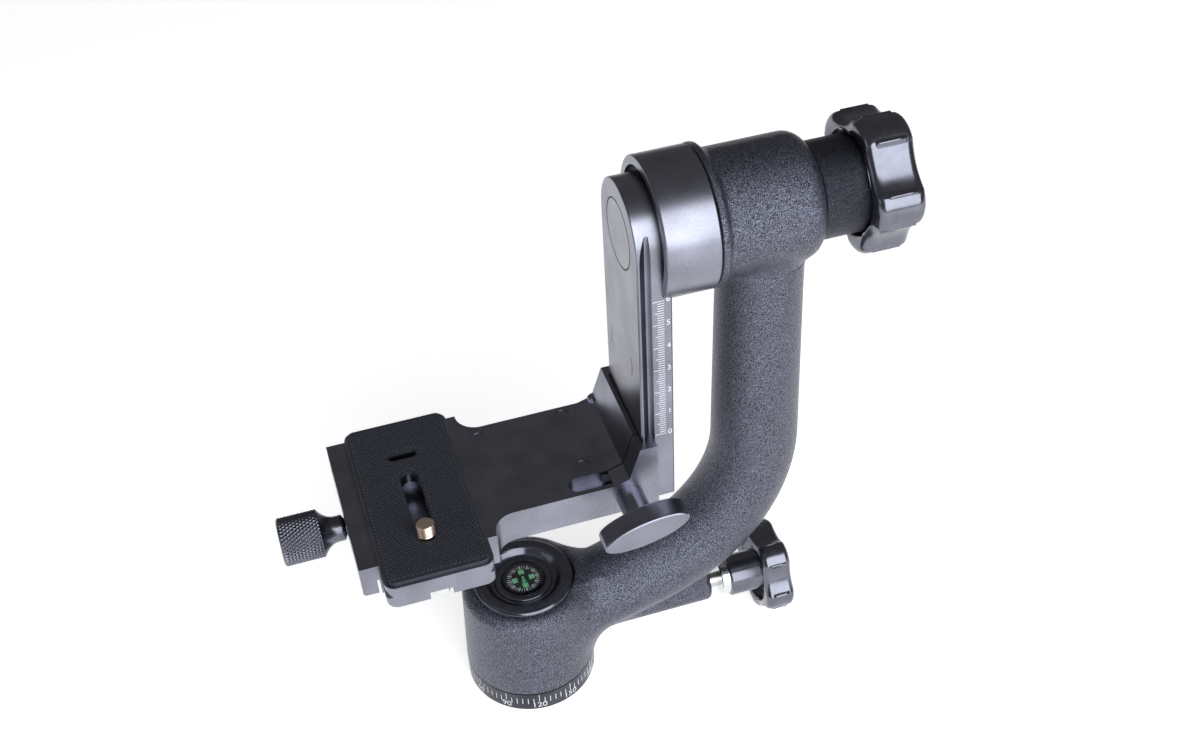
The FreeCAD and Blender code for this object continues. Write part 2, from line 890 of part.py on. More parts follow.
def tilt_axle():
    """Steel axle: flange in the collar, bearing journals and a threaded end."""
    flange_start = collar_end - axle_flange_thick
    body = turned_x([(axle_seat, 0), (axle_seat, tilt_axle_radius),
                     (flange_start, tilt_axle_radius), (flange_start, axle_flange_radius),
                     (collar_end, axle_flange_radius), (collar_end, tilt_axle_radius),
                     (axle_shoulder, tilt_axle_radius), (axle_shoulder, axle_thread_radius),
                     (axle_tip, axle_thread_radius), (axle_tip, 0)], tilt_height)
    bolt = cylinder_x(axle_bolt_radius, axle_seat, bolt_tip, 0, tilt_height)
    return body.cut(bolt)


knob_floor = tilt_knob_start + tilt_knob_recess_depth
insert_start = sleeve_end + slide_gap + tilt_washer_thick
insert_end = insert_start + knob_insert_length


def tilt_knob():
    """Large star knob with a hollow inner side and a bore for its insert."""
    body = star_knob(tilt_knob_radius, tilt_knob_valley, tilt_knob_phase, tilt_knob_start,
                     tilt_knob_end, tilt_knob_round, tilt_height)
    recess = cylinder_x(tilt_knob_recess, tilt_knob_start, knob_floor, 0, tilt_height)
    bore_end = axle_tip + loose_gap
    cuts = [recess,
            cylinder_x(knob_insert_radius, tilt_knob_start, insert_end, 0, tilt_height),
            cylinder_x(axle_thread_radius + running_fit, tilt_knob_start, bore_end,
                       0, tilt_height)]
    return body.cut(cuts)


def tilt_washer():
    """Steel washer between the sleeve and the knob's insert."""
    start = insert_start - tilt_washer_thick
    ring = cylinder_x(knob_insert_radius, start, insert_start, 0, tilt_height)
    return ring.cut(cylinder_x(axle_thread_radius + running_fit, start, insert_start,
                               0, tilt_height))


def tilt_knob_insert():
    """Threaded brass insert of the tilt knob."""
    ring = cylinder_x(knob_insert_radius, insert_start, insert_end, 0, tilt_height)
    return ring.cut(cylinder_x(axle_thread_radius + running_fit, insert_start, insert_end,
                               0, tilt_height))


# Swing collar and rail

bolt_head_start = rail_back - axle_bolt_web - axle_bolt_head
bolt_tip = rail_back - axle_bolt_web + axle_bolt_grip
dowel_spots = [Vector(0, side * dowel_circle, tilt_height) for side in (-1, 1)]


def dowel_bores(start, end):
    """Cutters or pins at the dowel places."""
    return [cylinder_x(dowel_radius, start, end, spot.y, spot.z) for spot in dowel_spots]


def swing_collar():
    """Round collar that carries the rail in a recess open at the bottom."""
    body = cylinder_x(collar_radius, collar_start, collar_end, 0, tilt_height)
    body = rounded(body, collar_round, lambda e: circle_at(e, "x", collar_start)
                   or circle_at(e, "x", collar_end))
    notch_half = rail_half + slide_gap
    cuts = [cylinder_x(collar_recess_radius, collar_start, rail_back, 0, tilt_height),
            block(collar_start, rail_back, -notch_half, notch_half, rail_bottom, tilt_height),
            cylinder_x(axle_bolt_radius, rail_back, axle_seat, 0, tilt_height),
            cylinder_x(tilt_axle_radius, axle_seat, collar_end, 0, tilt_height),
            cylinder_x(axle_flange_radius, collar_end - axle_flange_thick, collar_end,
                       0, tilt_height)]
    cuts += dowel_bores(rail_back, rail_back + dowel_length - dowel_depth)
    return body.cut(cuts)


def rail_section():
    """Half-width outline of the rail from front to back, as (x, y) corners."""
    groove = rail_half - rail_groove_depth
    lip_end = rail_front + rail_lip
    return [(rail_front, rail_half - rail_edge), (rail_front + rail_edge, rail_half),
            (lip_end, rail_half), (lip_end + rail_groove_depth, groove),
            (rail_groove_end, groove), (rail_groove_end, rail_half),
            (rail_back - rail_edge, rail_half), (rail_back, rail_half - rail_edge)]


def swing_rail():
    """Dovetail rail with a round top and a bore for the axle bolt."""
    near = [Vector(x, -y, rail_bottom) for x, y in reversed(rail_section())]
    far = [Vector(x, y, rail_bottom) for x, y in rail_section()]
    bar = face_of(near + far).extrude(Vector(0, 0, tilt_height + rail_half - rail_bottom))
    keep = cylinder_x(rail_half, rail_front, rail_back, 0, tilt_height)
    keep = rounded(keep, rail_edge, lambda e: circle_at(e, "x", rail_front))
    keep = keep.fuse(block(rail_front, rail_back, -rail_half, rail_half, rail_bottom,
                           tilt_height))
    cover_end = rail_front + rail_cover_thick
    cuts = [cylinder_x(rail_cover_radius, rail_front, cover_end, 0, tilt_height),
            cylinder_x(axle_bolt_head_radius, rail_front, rail_back - axle_bolt_web,
                       0, tilt_height),
            cylinder_x(axle_bolt_radius, rail_front, rail_back, 0, tilt_height)]
    cuts += dowel_bores(rail_back - dowel_depth, rail_back)
    return bar.common(keep).cut(cuts)


def rail_cover():
    """Round cover over the axle bolt."""
    end = rail_front + rail_cover_thick
    disc = cylinder_x(rail_cover_radius - slide_gap, rail_front, end, 0, tilt_height)
    return rounded(disc, rail_cover_round, lambda e: circle_at(e, "x", rail_front))


def axle_bolt():
    """Socket bolt that pulls the rail and the collar onto the axle."""
    head_end = rail_back - axle_bolt_web
    head = cylinder_x(axle_bolt_head_radius, bolt_head_start, head_end, 0, tilt_height)
    shank = cylinder_x(axle_bolt_radius, head_end, bolt_tip, 0, tilt_height)
    socket = hexagon_pocket(axle_bolt_socket_radius, bolt_head_start,
                            axle_bolt_socket_depth, Vector(0, 0, tilt_height), RIGHT)
    return head.fuse(shank).cut(socket).removeSplitter()


def rail_dowels():
    """Dowels that stop the rail from turning on the collar."""
    start = rail_back - dowel_depth
    return Part.makeCompound(dowel_bores(start, start + dowel_length))


# Platform

deck_bottom = deck_top - deck_thick
wall_step_z = deck_top + wall_step_rise
wall_face = rail_front - loose_gap
side_gap = rail_half + slide_gap
clamp_pin_spots = (-clamp_pin_y, clamp_pin_y)
clamp_jaw_back = clamp_body_edge - clamp_opening
clamp_spring_end = clamp_jaw_back + clamp_spring_length
jaw_pin_spots = ((jaw_pin_x, jaw_pin_low), (jaw_pin_high_x, jaw_pin_high))
jaw_spring_end = moving_jaw_y + jaw_spring_length
screw_head_y = deck_half - jaw_screw_head
screw_tip_y = screw_head_y - jaw_screw_length


def wall_profile(end_x):
    """Outline of the rail wall and jaws, as (x, z) corners."""
    return [(wall_foot_x, deck_bottom), (wall_foot_x, deck_top), (wall_step_x, wall_step_z),
            (wall_crest_x, wall_crest_z), (end_x, wall_crest_z), (end_x, deck_bottom)]


def rail_envelope():
    """Space that the rail needs between the jaws, with its sliding clearance."""
    groove = rail_half - rail_groove_depth + slide_gap
    lip = rail_front + rail_lip + 2 * slide_gap
    outline = [(wall_face, side_gap), (lip, side_gap), (lip + rail_groove_depth, groove),
               (rail_back, groove)]
    near = [Vector(x, -y, 0) for x, y in reversed(outline)]
    far = [Vector(x, y, 0) for x, y in outline]
    return face_of(near + far).extrude(Vector(0, 0, tilt_height))


def moving_jaw_room():
    """Corner of the deck that the moving rail jaw fills."""
    return block(wall_foot_x - slide_gap, hook_end_x, -deck_half, wall_near_y,
                 deck_bottom, wall_crest_z)


def cove(side):
    """Corner block beside the fixed clamp jaw, with its concave fillet cut away."""
    start = fixed_clamp_edge
    y_low, y_high = sorted((side * deck_half, side * jaw_half_length))
    body = block(start, start + cove_radius, y_low, y_high, deck_bottom, deck_top)
    centre_y = side * (deck_half + cove_radius)
    return body.cut(cylinder_z(cove_radius, deck_bottom, deck_top, start + cove_radius,
                               centre_y))


def clamp_jaw_profile(edge, side, bottom):
    """Outline of a clamp jaw, as (x, z) corners; side is +1 for the fixed one."""
    def across(distance):
        return clamp_centre_x + side * distance
    return [(across(plate_half + slide_gap), bottom),
            (across(plate_half + slide_gap), plate_notch_z - plate_notch - slide_gap),
            (across(nose_reach), plate_notch_z - slide_gap),
            (across(nose_reach + nose_flank), deck_top), (edge, deck_top), (edge, bottom)]


def platform():
    """Machined platform: clamp body with its fixed jaw, deck and rail wall."""
    clamp_body = block(clamp_body_edge, fixed_clamp_edge, -jaw_half_length, jaw_half_length,
                       deck_bottom, clamp_floor)
    jaw = extruded_y(clamp_jaw_profile(fixed_clamp_edge, 1, deck_bottom),
                     -jaw_half_length, jaw_half_length)
    deck = block(fixed_clamp_edge, wall_foot_x, -deck_half, deck_half, deck_bottom, deck_top)
    wall = extruded_y(wall_profile(wall_face), -deck_half, fixed_jaw_y)
    body = clamp_body.fuse([jaw, deck, wall, cove(-1), cove(1)])
    pocket_floor = deck_top - pocket_depth
    pocket = block(pocket_start_x, wall_foot_x, pocket_near_y, pocket_far_y,
                   pocket_floor, deck_top)
    pocket_round = (pocket_far_y - pocket_near_y) / 2
    pocket_end = cylinder_z(pocket_round, pocket_floor, deck_top, pocket_start_x,
                            (pocket_far_y + pocket_near_y) / 2)
    cuts = [moving_jaw_room(), pocket, pocket_end]
    cuts.append(cylinder_y(wing_screw_radius, wall_near_y, wall_near_y + wing_screw_grip,
                           wing_x, wing_z))
    cuts.append(cylinder_y(jaw_spring_radius + jaw_spring_wire + spring_room, wall_near_y,
                           jaw_spring_end + running_fit, wing_x, wing_z))
    cuts += [cylinder_y(jaw_pin_radius, wall_near_y, wall_near_y + jaw_pin_grip, x, z)
             for x, z in jaw_pin_spots]
    cuts += [cylinder_y(jaw_screw_radius, screw_tip_y, fixed_jaw_y, jaw_screw_x, z)
             for z in (jaw_screw_low, jaw_screw_high)]
    cuts += [cylinder_z(plug_radius, deck_top - plug_thick, deck_top, x, y)
             for x, y in deck_plug_spots]
    cuts.append(cylinder_x(clamp_screw_radius + running_fit, clamp_body_edge,
                           clamp_body_edge + clamp_screw_grip + loose_gap, 0, clamp_screw_z))
    for y in clamp_pin_spots:
        cuts.append(cylinder_x(clamp_pin_radius, clamp_body_edge,
                               clamp_body_edge + clamp_pin_grip, y, clamp_screw_z))
        cuts.append(cylinder_x(clamp_spring_radius + clamp_spring_wire + spring_room,
                               clamp_body_edge, clamp_spring_end + running_fit,
                               y, clamp_screw_z))
    return body.cut(cuts).removeSplitter()


def rail_jaw_fixed():
    """Far rail jaw, screwed to the end of the wall."""
    body = extruded_y(wall_profile(hook_end_x), fixed_jaw_y, deck_half)
    cuts = [rail_envelope()]
    for z in (jaw_screw_low, jaw_screw_high):
        cuts.append(cylinder_y(jaw_screw_radius, fixed_jaw_y, deck_half, jaw_screw_x, z))
        cuts.append(cylinder_y(jaw_screw_head_radius, screw_head_y, deck_half,
                               jaw_screw_x, z))
    return body.cut(cuts)


def rail_jaw_screws():
    """Socket screws of the fixed rail jaw."""
    screws = []
    for z in (jaw_screw_low, jaw_screw_high):
        head = cylinder_y(jaw_screw_head_radius, screw_head_y, deck_half, jaw_screw_x, z)
        shank = cylinder_y(jaw_screw_radius, screw_tip_y, screw_head_y, jaw_screw_x, z)
        socket = hexagon_pocket(jaw_socket_radius, deck_half - jaw_socket_depth,
                                jaw_socket_depth, Vector(jaw_screw_x, 0, z), AWAY)
        screws.append(head.fuse(shank).cut(socket).removeSplitter())
    return Part.makeCompound(screws)


def rail_jaw_moving():
    """Near rail jaw, with a hook for the rail and a tongue in the deck's pocket."""
    body = extruded_y(wall_profile(hook_end_x), -deck_half, moving_jaw_y)
    tongue_top = deck_top - pocket_depth + tongue_low
    tongue = block(tongue_start_x, wall_step_x, tongue_near_y, tongue_far_y,
                   tongue_top - tongue_thick, tongue_top)
    body = body.fuse(tongue)
    cuts = [rail_envelope(),
            cylinder_y(wing_screw_radius + running_fit, -deck_half, moving_jaw_y,
                       wing_x, wing_z)]
    cuts += [cylinder_y(jaw_pin_radius + running_fit, moving_jaw_y - jaw_pin_reach,
                        moving_jaw_y, x, z) for x, z in jaw_pin_spots]
    return body.cut(cuts).removeSplitter()


def rail_jaw_pins():
    """Guide pins of the moving rail jaw, pressed into the platform."""
    end = wall_near_y + jaw_pin_grip
    start = moving_jaw_y - jaw_pin_reach + loose_gap
    return Part.makeCompound([cylinder_y(jaw_pin_radius, start, end, x, z)
                              for x, z in jaw_pin_spots])


def rail_jaw_spring():
    """Spring that opens the moving rail jaw when the wing knob is loosened."""
    return coil(jaw_spring_radius, jaw_spring_wire, jaw_spring_length, jaw_spring_turns,
                Vector(wing_x, moving_jaw_y, wing_z), AWAY, UP)


def deck_plugs():
    """Round plugs in the deck, a little below its surface."""
    return Part.makeCompound([cylinder_z(plug_radius, deck_top - plug_thick,
                                         deck_top - plug_sink, x, y)
                              for x, y in deck_plug_spots])


# Wing knob

neck_end = -deck_half - running_fit
wing_back = neck_end - wing_neck_length


def wing_screw():
    """Steel screw from the wing knob through the jaw into the platform."""
    return cylinder_y(wing_screw_radius - running_fit, wing_back,
                      wall_near_y + wing_screw_grip - loose_gap, wing_x, wing_z)


def wing_outline():
    """Upright ellipse, longer than it is tall."""
    tip = Vector(wing_length / 2, 0, 0)
    crown = Vector(0, 0, wing_height / 2)
    return Part.Wire([Part.Ellipse(tip, crown, Vector(0, 0, 0)).toShape()])


def wing_knob():
    """Oval wing on a round neck."""
    outline = wing_outline()
    outline.translate(Vector(0, wing_back - wing_depth, 0))
    wing = Part.Face(outline).extrude(Vector(0, wing_depth, 0))
    wing = rounded(wing, wing_edge, lambda e: abs(e.BoundBox.YLength) < 0.01)
    wing.rotate(Vector(0, 0, 0), AWAY, -wing_tilt)
    wing.translate(Vector(wing_x, 0, wing_z + wing_rise))
    neck = cylinder_y(wing_neck_radius, wing_back, neck_end, wing_x, wing_z)
    body = wing.fuse(neck)
    return body.cut(cylinder_y(wing_screw_radius - running_fit, wing_back, neck_end,
                               wing_x, wing_z)).removeSplitter()


# Quick-release clamp

def clamp_jaw():
    """Moving clamp jaw."""
    profile = clamp_jaw_profile(moving_clamp_edge, -1, clamp_jaw_bottom)
    profile[-1] = (moving_clamp_edge + clamp_jaw_bevel, clamp_jaw_bottom)
    profile.insert(-1, (moving_clamp_edge, clamp_jaw_bottom + clamp_jaw_bevel))
    body = extruded_y(profile, -jaw_half_length, jaw_half_length)
    inner = clamp_centre_x - plate_half - slide_gap
    relief = block(clamp_jaw_back, inner + loose_gap, -jaw_half_length,
                   jaw_half_length, clamp_jaw_bottom, clamp_floor)
    cuts = [relief, cylinder_x(clamp_screw_radius + running_fit, moving_clamp_edge, inner,
                               0, clamp_screw_z)]
    for y in clamp_pin_spots:
        cuts.append(cylinder_x(clamp_pin_radius + running_fit,
                               clamp_body_edge - clamp_pin_reach - loose_gap,
                               inner, y, clamp_screw_z))
    return body.cut(cuts).removeSplitter()


def clamp_pins():
    """Guide pins of the moving clamp jaw, pressed into the platform."""
    pins = [cylinder_x(clamp_pin_radius, clamp_body_edge - clamp_pin_reach,
                       clamp_body_edge + clamp_pin_grip, y, clamp_screw_z)
            for y in clamp_pin_spots]
    return Part.makeCompound(pins)


def clamp_springs():
    """Springs round the guide pins that open the clamp jaw."""
    springs = []
    for y in clamp_pin_spots:
        spring = coil(clamp_spring_radius, clamp_spring_wire, clamp_spring_length,
                      clamp_spring_turns, Vector(clamp_jaw_back, y, clamp_screw_z),
                      RIGHT, UP)
        springs.append(spring)
    return Part.makeCompound(springs)


def clamp_screw():
    """Steel screw of the clamp, fixed in its knob."""
    return cylinder_x(clamp_screw_radius, clamp_knob_end - clamp_screw_inset,
                      clamp_body_edge + clamp_screw_grip, 0, clamp_screw_z)


def clamp_knob():
    """Knurled knob with a coned neck against the jaw."""
    neck_tip = moving_clamp_edge - running_fit
    cone_end = clamp_knob_end + clamp_knob_cone
    body = turned_x([(clamp_knob_start, 0), (clamp_knob_start, clamp_knob_radius),
                     (clamp_knob_end, clamp_knob_radius), (cone_end, clamp_knob_neck),
                     (neck_tip, clamp_knob_neck), (neck_tip, 0)], clamp_screw_z)
    body = rounded(body, clamp_knob_bevel,
                   lambda e: circle_at(e, "x", clamp_knob_start)
                   or circle_at(e, "x", clamp_knob_end))
    return body.cut(cylinder_x(clamp_screw_radius, clamp_knob_end - clamp_screw_inset,
                               neck_tip, 0, clamp_screw_z))


# Quick-release plate

def plate_section():
    """Outline of the plate across its length, as (x, z) corners."""
    right = [(plate_half, plate_bottom), (plate_half, plate_notch_z - plate_notch),
             (plate_half - plate_notch, plate_notch_z),
             (plate_half, plate_notch_z + plate_notch), (plate_half, plate_top)]
    left = [(-x, z) for x, z in reversed(right)]
    return [(clamp_centre_x + x, z) for x, z in right + left]


def rounded_rectangle(half_x, y_low, y_high, radius, z_low, z_high):
    """Rectangular slab about the plate's centre line with round corners."""
    slab = block(clamp_centre_x - half_x, clamp_centre_x + half_x, y_low, y_high,
                 z_low, z_high)
    return rounded(slab, radius, lambda e: abs(e.BoundBox.ZLength) > (z_high - z_low) / 2)


def anchor_slot(z_low, z_high):
    """Short slot along X beside the long one."""
    half = anchor_slot_run
    middle = block(slot_x - half + anchor_slot_half, slot_x + half - anchor_slot_half,
                   anchor_slot_y - anchor_slot_half, anchor_slot_y + anchor_slot_half,
                   z_low, z_high)
    ends = [cylinder_z(anchor_slot_half, z_low, z_high,
                       slot_x + side * (half - anchor_slot_half), anchor_slot_y)
            for side in (-1, 1)]
    return middle.fuse(ends)


def quick_plate():
    """Dovetail plate with the camera screw's slot and its channels."""
    body = extruded_y(plate_section(), plate_near, plate_far)
    body = body.common(rounded_rectangle(plate_half, plate_near, plate_far, plate_corner,
                                         plate_bottom, plate_top))
    end_roof = plate_bottom + end_channel_depth
    cuts = [slot_z(slot_x, slot_near, slot_far, slot_half, plate_bottom, plate_top),
            slot_z(slot_x, slot_near, slot_far, screw_channel_half, plate_bottom,
                   screw_channel_roof),
            block(slot_x - end_channel_half, slot_x + end_channel_half, plate_near,
                  slot_near, plate_bottom, end_roof),
            anchor_slot(plate_bottom, plate_top),
            cylinder_z(stop_screw_shank, end_roof, end_roof + stop_screw_grip,
                       slot_x, stop_screw_y)]
    return body.cut(cuts).removeSplitter()


def plate_pad():
    """Rubber pad on the plate."""
    pad = rounded_rectangle(plate_half - pad_inset, plate_near + pad_inset,
                            plate_far - pad_inset, plate_corner - pad_inset,
                            plate_top, plate_top + pad_thick)
    return pad.cut([slot_z(slot_x, slot_near, slot_far, slot_half, plate_top,
                           plate_top + pad_thick),
                    anchor_slot(plate_top, plate_top + pad_thick)])


def stop_screw():
    """Bright screw under the plate's near end that keeps it from sliding out."""
    roof = plate_bottom + end_channel_depth
    low = roof - stop_screw_head
    head = cylinder_z(stop_screw_radius, low, roof, slot_x, stop_screw_y)
    head = rounded(head, stop_screw_round, lambda e: circle_at(e, "z", low))
    shank = cylinder_z(stop_screw_shank, roof, roof + stop_screw_grip, slot_x, stop_screw_y)
    socket = hexagon_pocket(stop_socket_radius, low, stop_socket_depth,
                            Vector(slot_x, stop_screw_y, 0), UP)
    return head.fuse(shank).cut(socket).removeSplitter()


def camera_screw():
    """Bronze camera screw with a slotted head in the plate's channel."""
    y = slot_near
    thread_low = plate_top + pad_thick + stud_neck_rise
    head = cylinder_z(screw_head_radius, screw_head_low, screw_head_high, slot_x, y)
    neck = cylinder_z(stud_neck_radius, screw_head_high, thread_low, slot_x, y)
    stud = cylinder_z(stud_radius, thread_low, stud_top, slot_x, y)
    stud = rounded(stud, stud_edge, lambda e: circle_at(e, "z", stud_top))
    slot = block(slot_x - screw_head_radius, slot_x + screw_head_radius,
                 y - screw_slot_wide / 2, y + screw_slot_wide / 2,
                 screw_head_low, screw_head_low + screw_slot_deep)
    return head.fuse([neck, stud]).cut(slot).removeSplitter()


def screw_clip():
    """Nylon washer that keeps the camera screw in its slot."""
    low = screw_head_high + running_fit
    high = low + clip_thick
    ring = cylinder_z(clip_radius, low, high, slot_x, slot_near)
    return ring.cut(cylinder_z(stud_neck_radius + running_fit, low, high,
                               slot_x, slot_near))


NODES = (base_plate, pan_spindle, base_screws, thrust_washer, spindle_washer, spindle_bolt,
         pan_bearing_inner, pan_bearing_outer, pan_bearing_balls, arm_casting, pan_lock_pad,
         compass_cap, compass_cup, compass_pin, compass_card, compass_dome, pan_lock_stud,
         pan_lock_collar, pan_lock_knob, tilt_bearing_inners, tilt_bearing_outers,
         tilt_bearing_balls, friction_washer, thrust_sleeve, tilt_axle, tilt_knob,
         tilt_knob_insert, tilt_washer, swing_collar, swing_rail, rail_cover,
         axle_bolt, rail_dowels, platform, rail_jaw_fixed, rail_jaw_screws,
         rail_jaw_moving, rail_jaw_pins, rail_jaw_spring, deck_plugs, wing_screw,
         wing_knob, clamp_jaw, clamp_pins, clamp_springs, clamp_screw, clamp_knob,
         quick_plate, plate_pad, stop_screw, camera_screw, screw_clip)

os.makedirs("parts", exist_ok=True)
for make in NODES:
    shape = make()
    solids = shape.Solids
    if not solids or not shape.isValid():
        raise ValueError(make.__name__ + " is not a valid solid")
    shape.exportStep("parts/" + make.__name__ + ".step")
    print(make.__name__, len(solids), round(shape.Volume, 1))
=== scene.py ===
import math

import bmesh
import bpy
import numpy as np
from mathutils import Matrix


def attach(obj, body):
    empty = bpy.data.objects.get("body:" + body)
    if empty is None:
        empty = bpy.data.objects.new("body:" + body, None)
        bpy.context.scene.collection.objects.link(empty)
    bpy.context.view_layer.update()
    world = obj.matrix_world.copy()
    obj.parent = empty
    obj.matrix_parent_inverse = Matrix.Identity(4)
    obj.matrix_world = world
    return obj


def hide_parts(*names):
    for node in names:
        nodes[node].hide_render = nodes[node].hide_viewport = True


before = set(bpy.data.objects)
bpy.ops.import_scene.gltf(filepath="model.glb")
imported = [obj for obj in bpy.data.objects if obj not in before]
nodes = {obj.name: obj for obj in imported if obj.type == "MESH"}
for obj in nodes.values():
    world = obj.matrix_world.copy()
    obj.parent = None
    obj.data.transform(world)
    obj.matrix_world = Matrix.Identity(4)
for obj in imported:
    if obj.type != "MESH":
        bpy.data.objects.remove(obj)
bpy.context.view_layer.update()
mm = 0.001


# Meshes from arrays of points, in mm

def gridQuads(rows, columns, closeRows, closeColumns):
    # corner numbers of a grid of points that may wrap round in either direction
    row = np.arange(rows if closeRows else rows - 1)[:, None]
    column = np.arange(columns if closeColumns else columns - 1)[None, :]
    nextRow = (row + 1) % rows
    nextColumn = (column + 1) % columns
    corners = [row * columns + column, nextRow * columns + column,
               nextRow * columns + nextColumn, row * columns + nextColumn]
    return np.stack(np.broadcast_arrays(*corners), axis=-1).reshape(-1, 4)


def makeMesh(name, points, quads, caps=()):
    # caps are closed rings of corner numbers, each filled by one flat face
    corners = np.concatenate([quads.ravel()] + [np.asarray(cap) for cap in caps])
    sizes = np.concatenate([np.full(len(quads), quads.shape[1]),
                            [len(cap) for cap in caps]]).astype(np.int32)
    mesh = bpy.data.meshes.new(name)
    mesh.vertices.add(len(points))
    mesh.vertices.foreach_set("co", (points * mm).astype(np.float32).ravel())
    mesh.loops.add(len(corners))
    mesh.loops.foreach_set("vertex_index", corners.astype(np.int32))
    mesh.polygons.add(len(sizes))
    mesh.polygons.foreach_set("loop_start", np.concatenate([[0], np.cumsum(sizes)[:-1]]))
    mesh.update(calc_edges=True)
    return mesh


def faceOutward(mesh):
    shell = bmesh.new()
    shell.from_mesh(mesh)
    bmesh.ops.recalc_face_normals(shell, faces=shell.faces)
    shell.to_mesh(mesh)
    shell.free()


def addPiece(name, mesh, body, material, smooth=True):
    piece = bpy.data.objects.new(name, mesh)
    bpy.context.scene.collection.objects.link(piece)
    mesh.polygons.foreach_set("use_smooth", np.full(len(mesh.polygons), smooth))
    mesh.materials.append(material)
    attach(piece, body)
    return piece


def gridPiece(name, grid, body, material, closeRows=False):
    # closed skin through a grid of points (rows, columns, 3) whose columns wrap round
    rows, columns = grid.shape[:2]
    first = np.arange(columns)
    caps = [] if closeRows else [first, first + (rows - 1) * columns]
    mesh = makeMesh(name, grid.reshape(-1, 3), gridQuads(rows, columns, closeRows, True), caps)
    faceOutward(mesh)
    return addPiece(name, mesh, body, material)


# Materials

def linear(code):
    # sRGB hex to linear colour with alpha
    channels = [int(code[k:k + 2], 16) / 255 for k in (1, 3, 5)]
    return tuple(c / 12.92 if c <= 0.04045 else ((c + 0.055) / 1.055) ** 2.4
                 for c in channels) + (1.0,)


def addNode(tree, kind, inputs=None, **settings):
    # settings are the node's own options; inputs are socket values, or sockets to link
    node = tree.nodes.new(kind)
    for key, value in settings.items():
        setattr(node, key, value)
    for key, value in (inputs or {}).items():
        if isinstance(value, bpy.types.NodeSocket):
            tree.links.new(value, node.inputs[key])
        else:
            node.inputs[key].default_value = value
    return node


def newMaterial(name, inputs):
    material = bpy.data.materials.new(name)
    material.use_nodes = True
    tree = material.node_tree
    tree.nodes.clear()
    shader = addNode(tree, "ShaderNodeBsdfPrincipled", inputs)
    addNode(tree, "ShaderNodeOutputMaterial", {"Surface": shader.outputs["BSDF"]})
    return material, tree, shader


def objectNoise(tree, grain, detail=2.0, roughness=0.5, stretch=None):
    # noise whose cells are grain mm wide, in the object's own coordinates
    place = addNode(tree, "ShaderNodeTexCoord").outputs["Object"]
    if stretch:
        place = addNode(tree, "ShaderNodeVectorMath", {0: place, 1: stretch},
                        operation="MULTIPLY").outputs["Vector"]
    return addNode(tree, "ShaderNodeTexNoise", {"Vector": place, "Scale": 1 / (grain * mm),
                                                "Detail": detail, "Roughness": roughness})


def ramp(tree, value, low, high, outLow, outHigh):
    return addNode(tree, "ShaderNodeMapRange", {"Value": value, "From Min": low,
                                                "From Max": high, "To Min": outLow,
                                                "To Max": outHigh}).outputs["Result"]


def mixColour(tree, factor, colourA, colourB):
    # a Mix node set to colour takes its factor at input 0 and its colours at 6 and 7
    return addNode(tree, "ShaderNodeMix", {0: factor, 6: colourA, 7: colourB},
                   data_type="RGBA").outputs[2]


def tint(tree, shader, value, start, end, low, high):
    # base colour that runs from low to high while the value runs from start to end
    colour = mixColour(tree, ramp(tree, value, start, end, 0.0, 1.0), linear(low), linear(high))
    tree.links.new(colour, shader.inputs["Base Color"])


def varyRoughness(tree, shader, value, start, end, low, high):
    tree.links.new(ramp(tree, value, start, end, low, high), shader.inputs["Roughness"])


def addBump(tree, shader, height, strength, depth):
    bump = addNode(tree, "ShaderNodeBump", {"Height": height, "Strength": strength,
                                            "Distance": depth * mm})
    tree.links.new(bump.outputs["Normal"], shader.inputs["Normal"])


def makeCrinklePaint(name, low, high, roughness, grain, depth):
    # crinkle-finish black paint: pebbled grain that sparkles blue-grey where lit
    material, tree, shader = newMaterial(name, {"Metallic": 0.75, "Roughness": roughness})
    coarse = objectNoise(tree, grain, 1.0, 0.6).outputs["Fac"]
    fine = objectNoise(tree, grain * 0.4, 0.0).outputs["Fac"]
    pebbles = addNode(tree, "ShaderNodeMath", {0: coarse, 1: 0.8, 2: fine},
                      operation="MULTIPLY_ADD").outputs["Value"]
    tint(tree, shader, pebbles, 0.82, 1.12, low, high)
    addBump(tree, shader, pebbles, 0.9, depth)
    return material


def makeAnodised(name, low, high, roughness, grain, depth):
    # bead-blasted black anodised aluminium: satin metal with a fine even speckle
    material, tree, shader = newMaterial(name, {"Metallic": 1.0, "Roughness": roughness})
    speck = objectNoise(tree, grain, 1.0, 0.5).outputs["Fac"]
    cloud = objectNoise(tree, 14.0, 1.0).outputs["Fac"]
    tone = addNode(tree, "ShaderNodeMath", {0: speck, 1: 0.9, 2: cloud},
                   operation="MULTIPLY_ADD").outputs["Value"]
    tint(tree, shader, tone, 0.7, 1.2, low, high)
    addBump(tree, shader, speck, 0.5, depth)
    return material


def makePolymer(name, low, high, roughness, metallic, grain, depth):
    # moulded polymer with a soft sheen and slight unevenness of the mould's surface
    material, tree, shader = newMaterial(name, {"Metallic": metallic, "Roughness": roughness})
    skin = objectNoise(tree, grain, 2.0).outputs["Fac"]
    tint(tree, shader, skin, 0.35, 0.65, low, high)
    varyRoughness(tree, shader, skin, 0.3, 0.7, roughness * 0.85, roughness * 1.15)
    addBump(tree, shader, skin, 0.12, depth)
    return material


def makeTurnedMetal(name, low, high, roughness, stretch):
    # turned or ground metal: fine lines along one direction, seen as a streaky sheen
    material, tree, shader = newMaterial(name, {"Metallic": 1.0, "Roughness": roughness})
    lines = objectNoise(tree, 0.25, 2.0, 0.6, stretch).outputs["Fac"]
    tint(tree, shader, lines, 0.3, 0.7, low, high)
    varyRoughness(tree, shader, lines, 0.3, 0.7, roughness * 0.8, roughness * 1.3)
    addBump(tree, shader, lines, 0.15, 0.02)
    return material


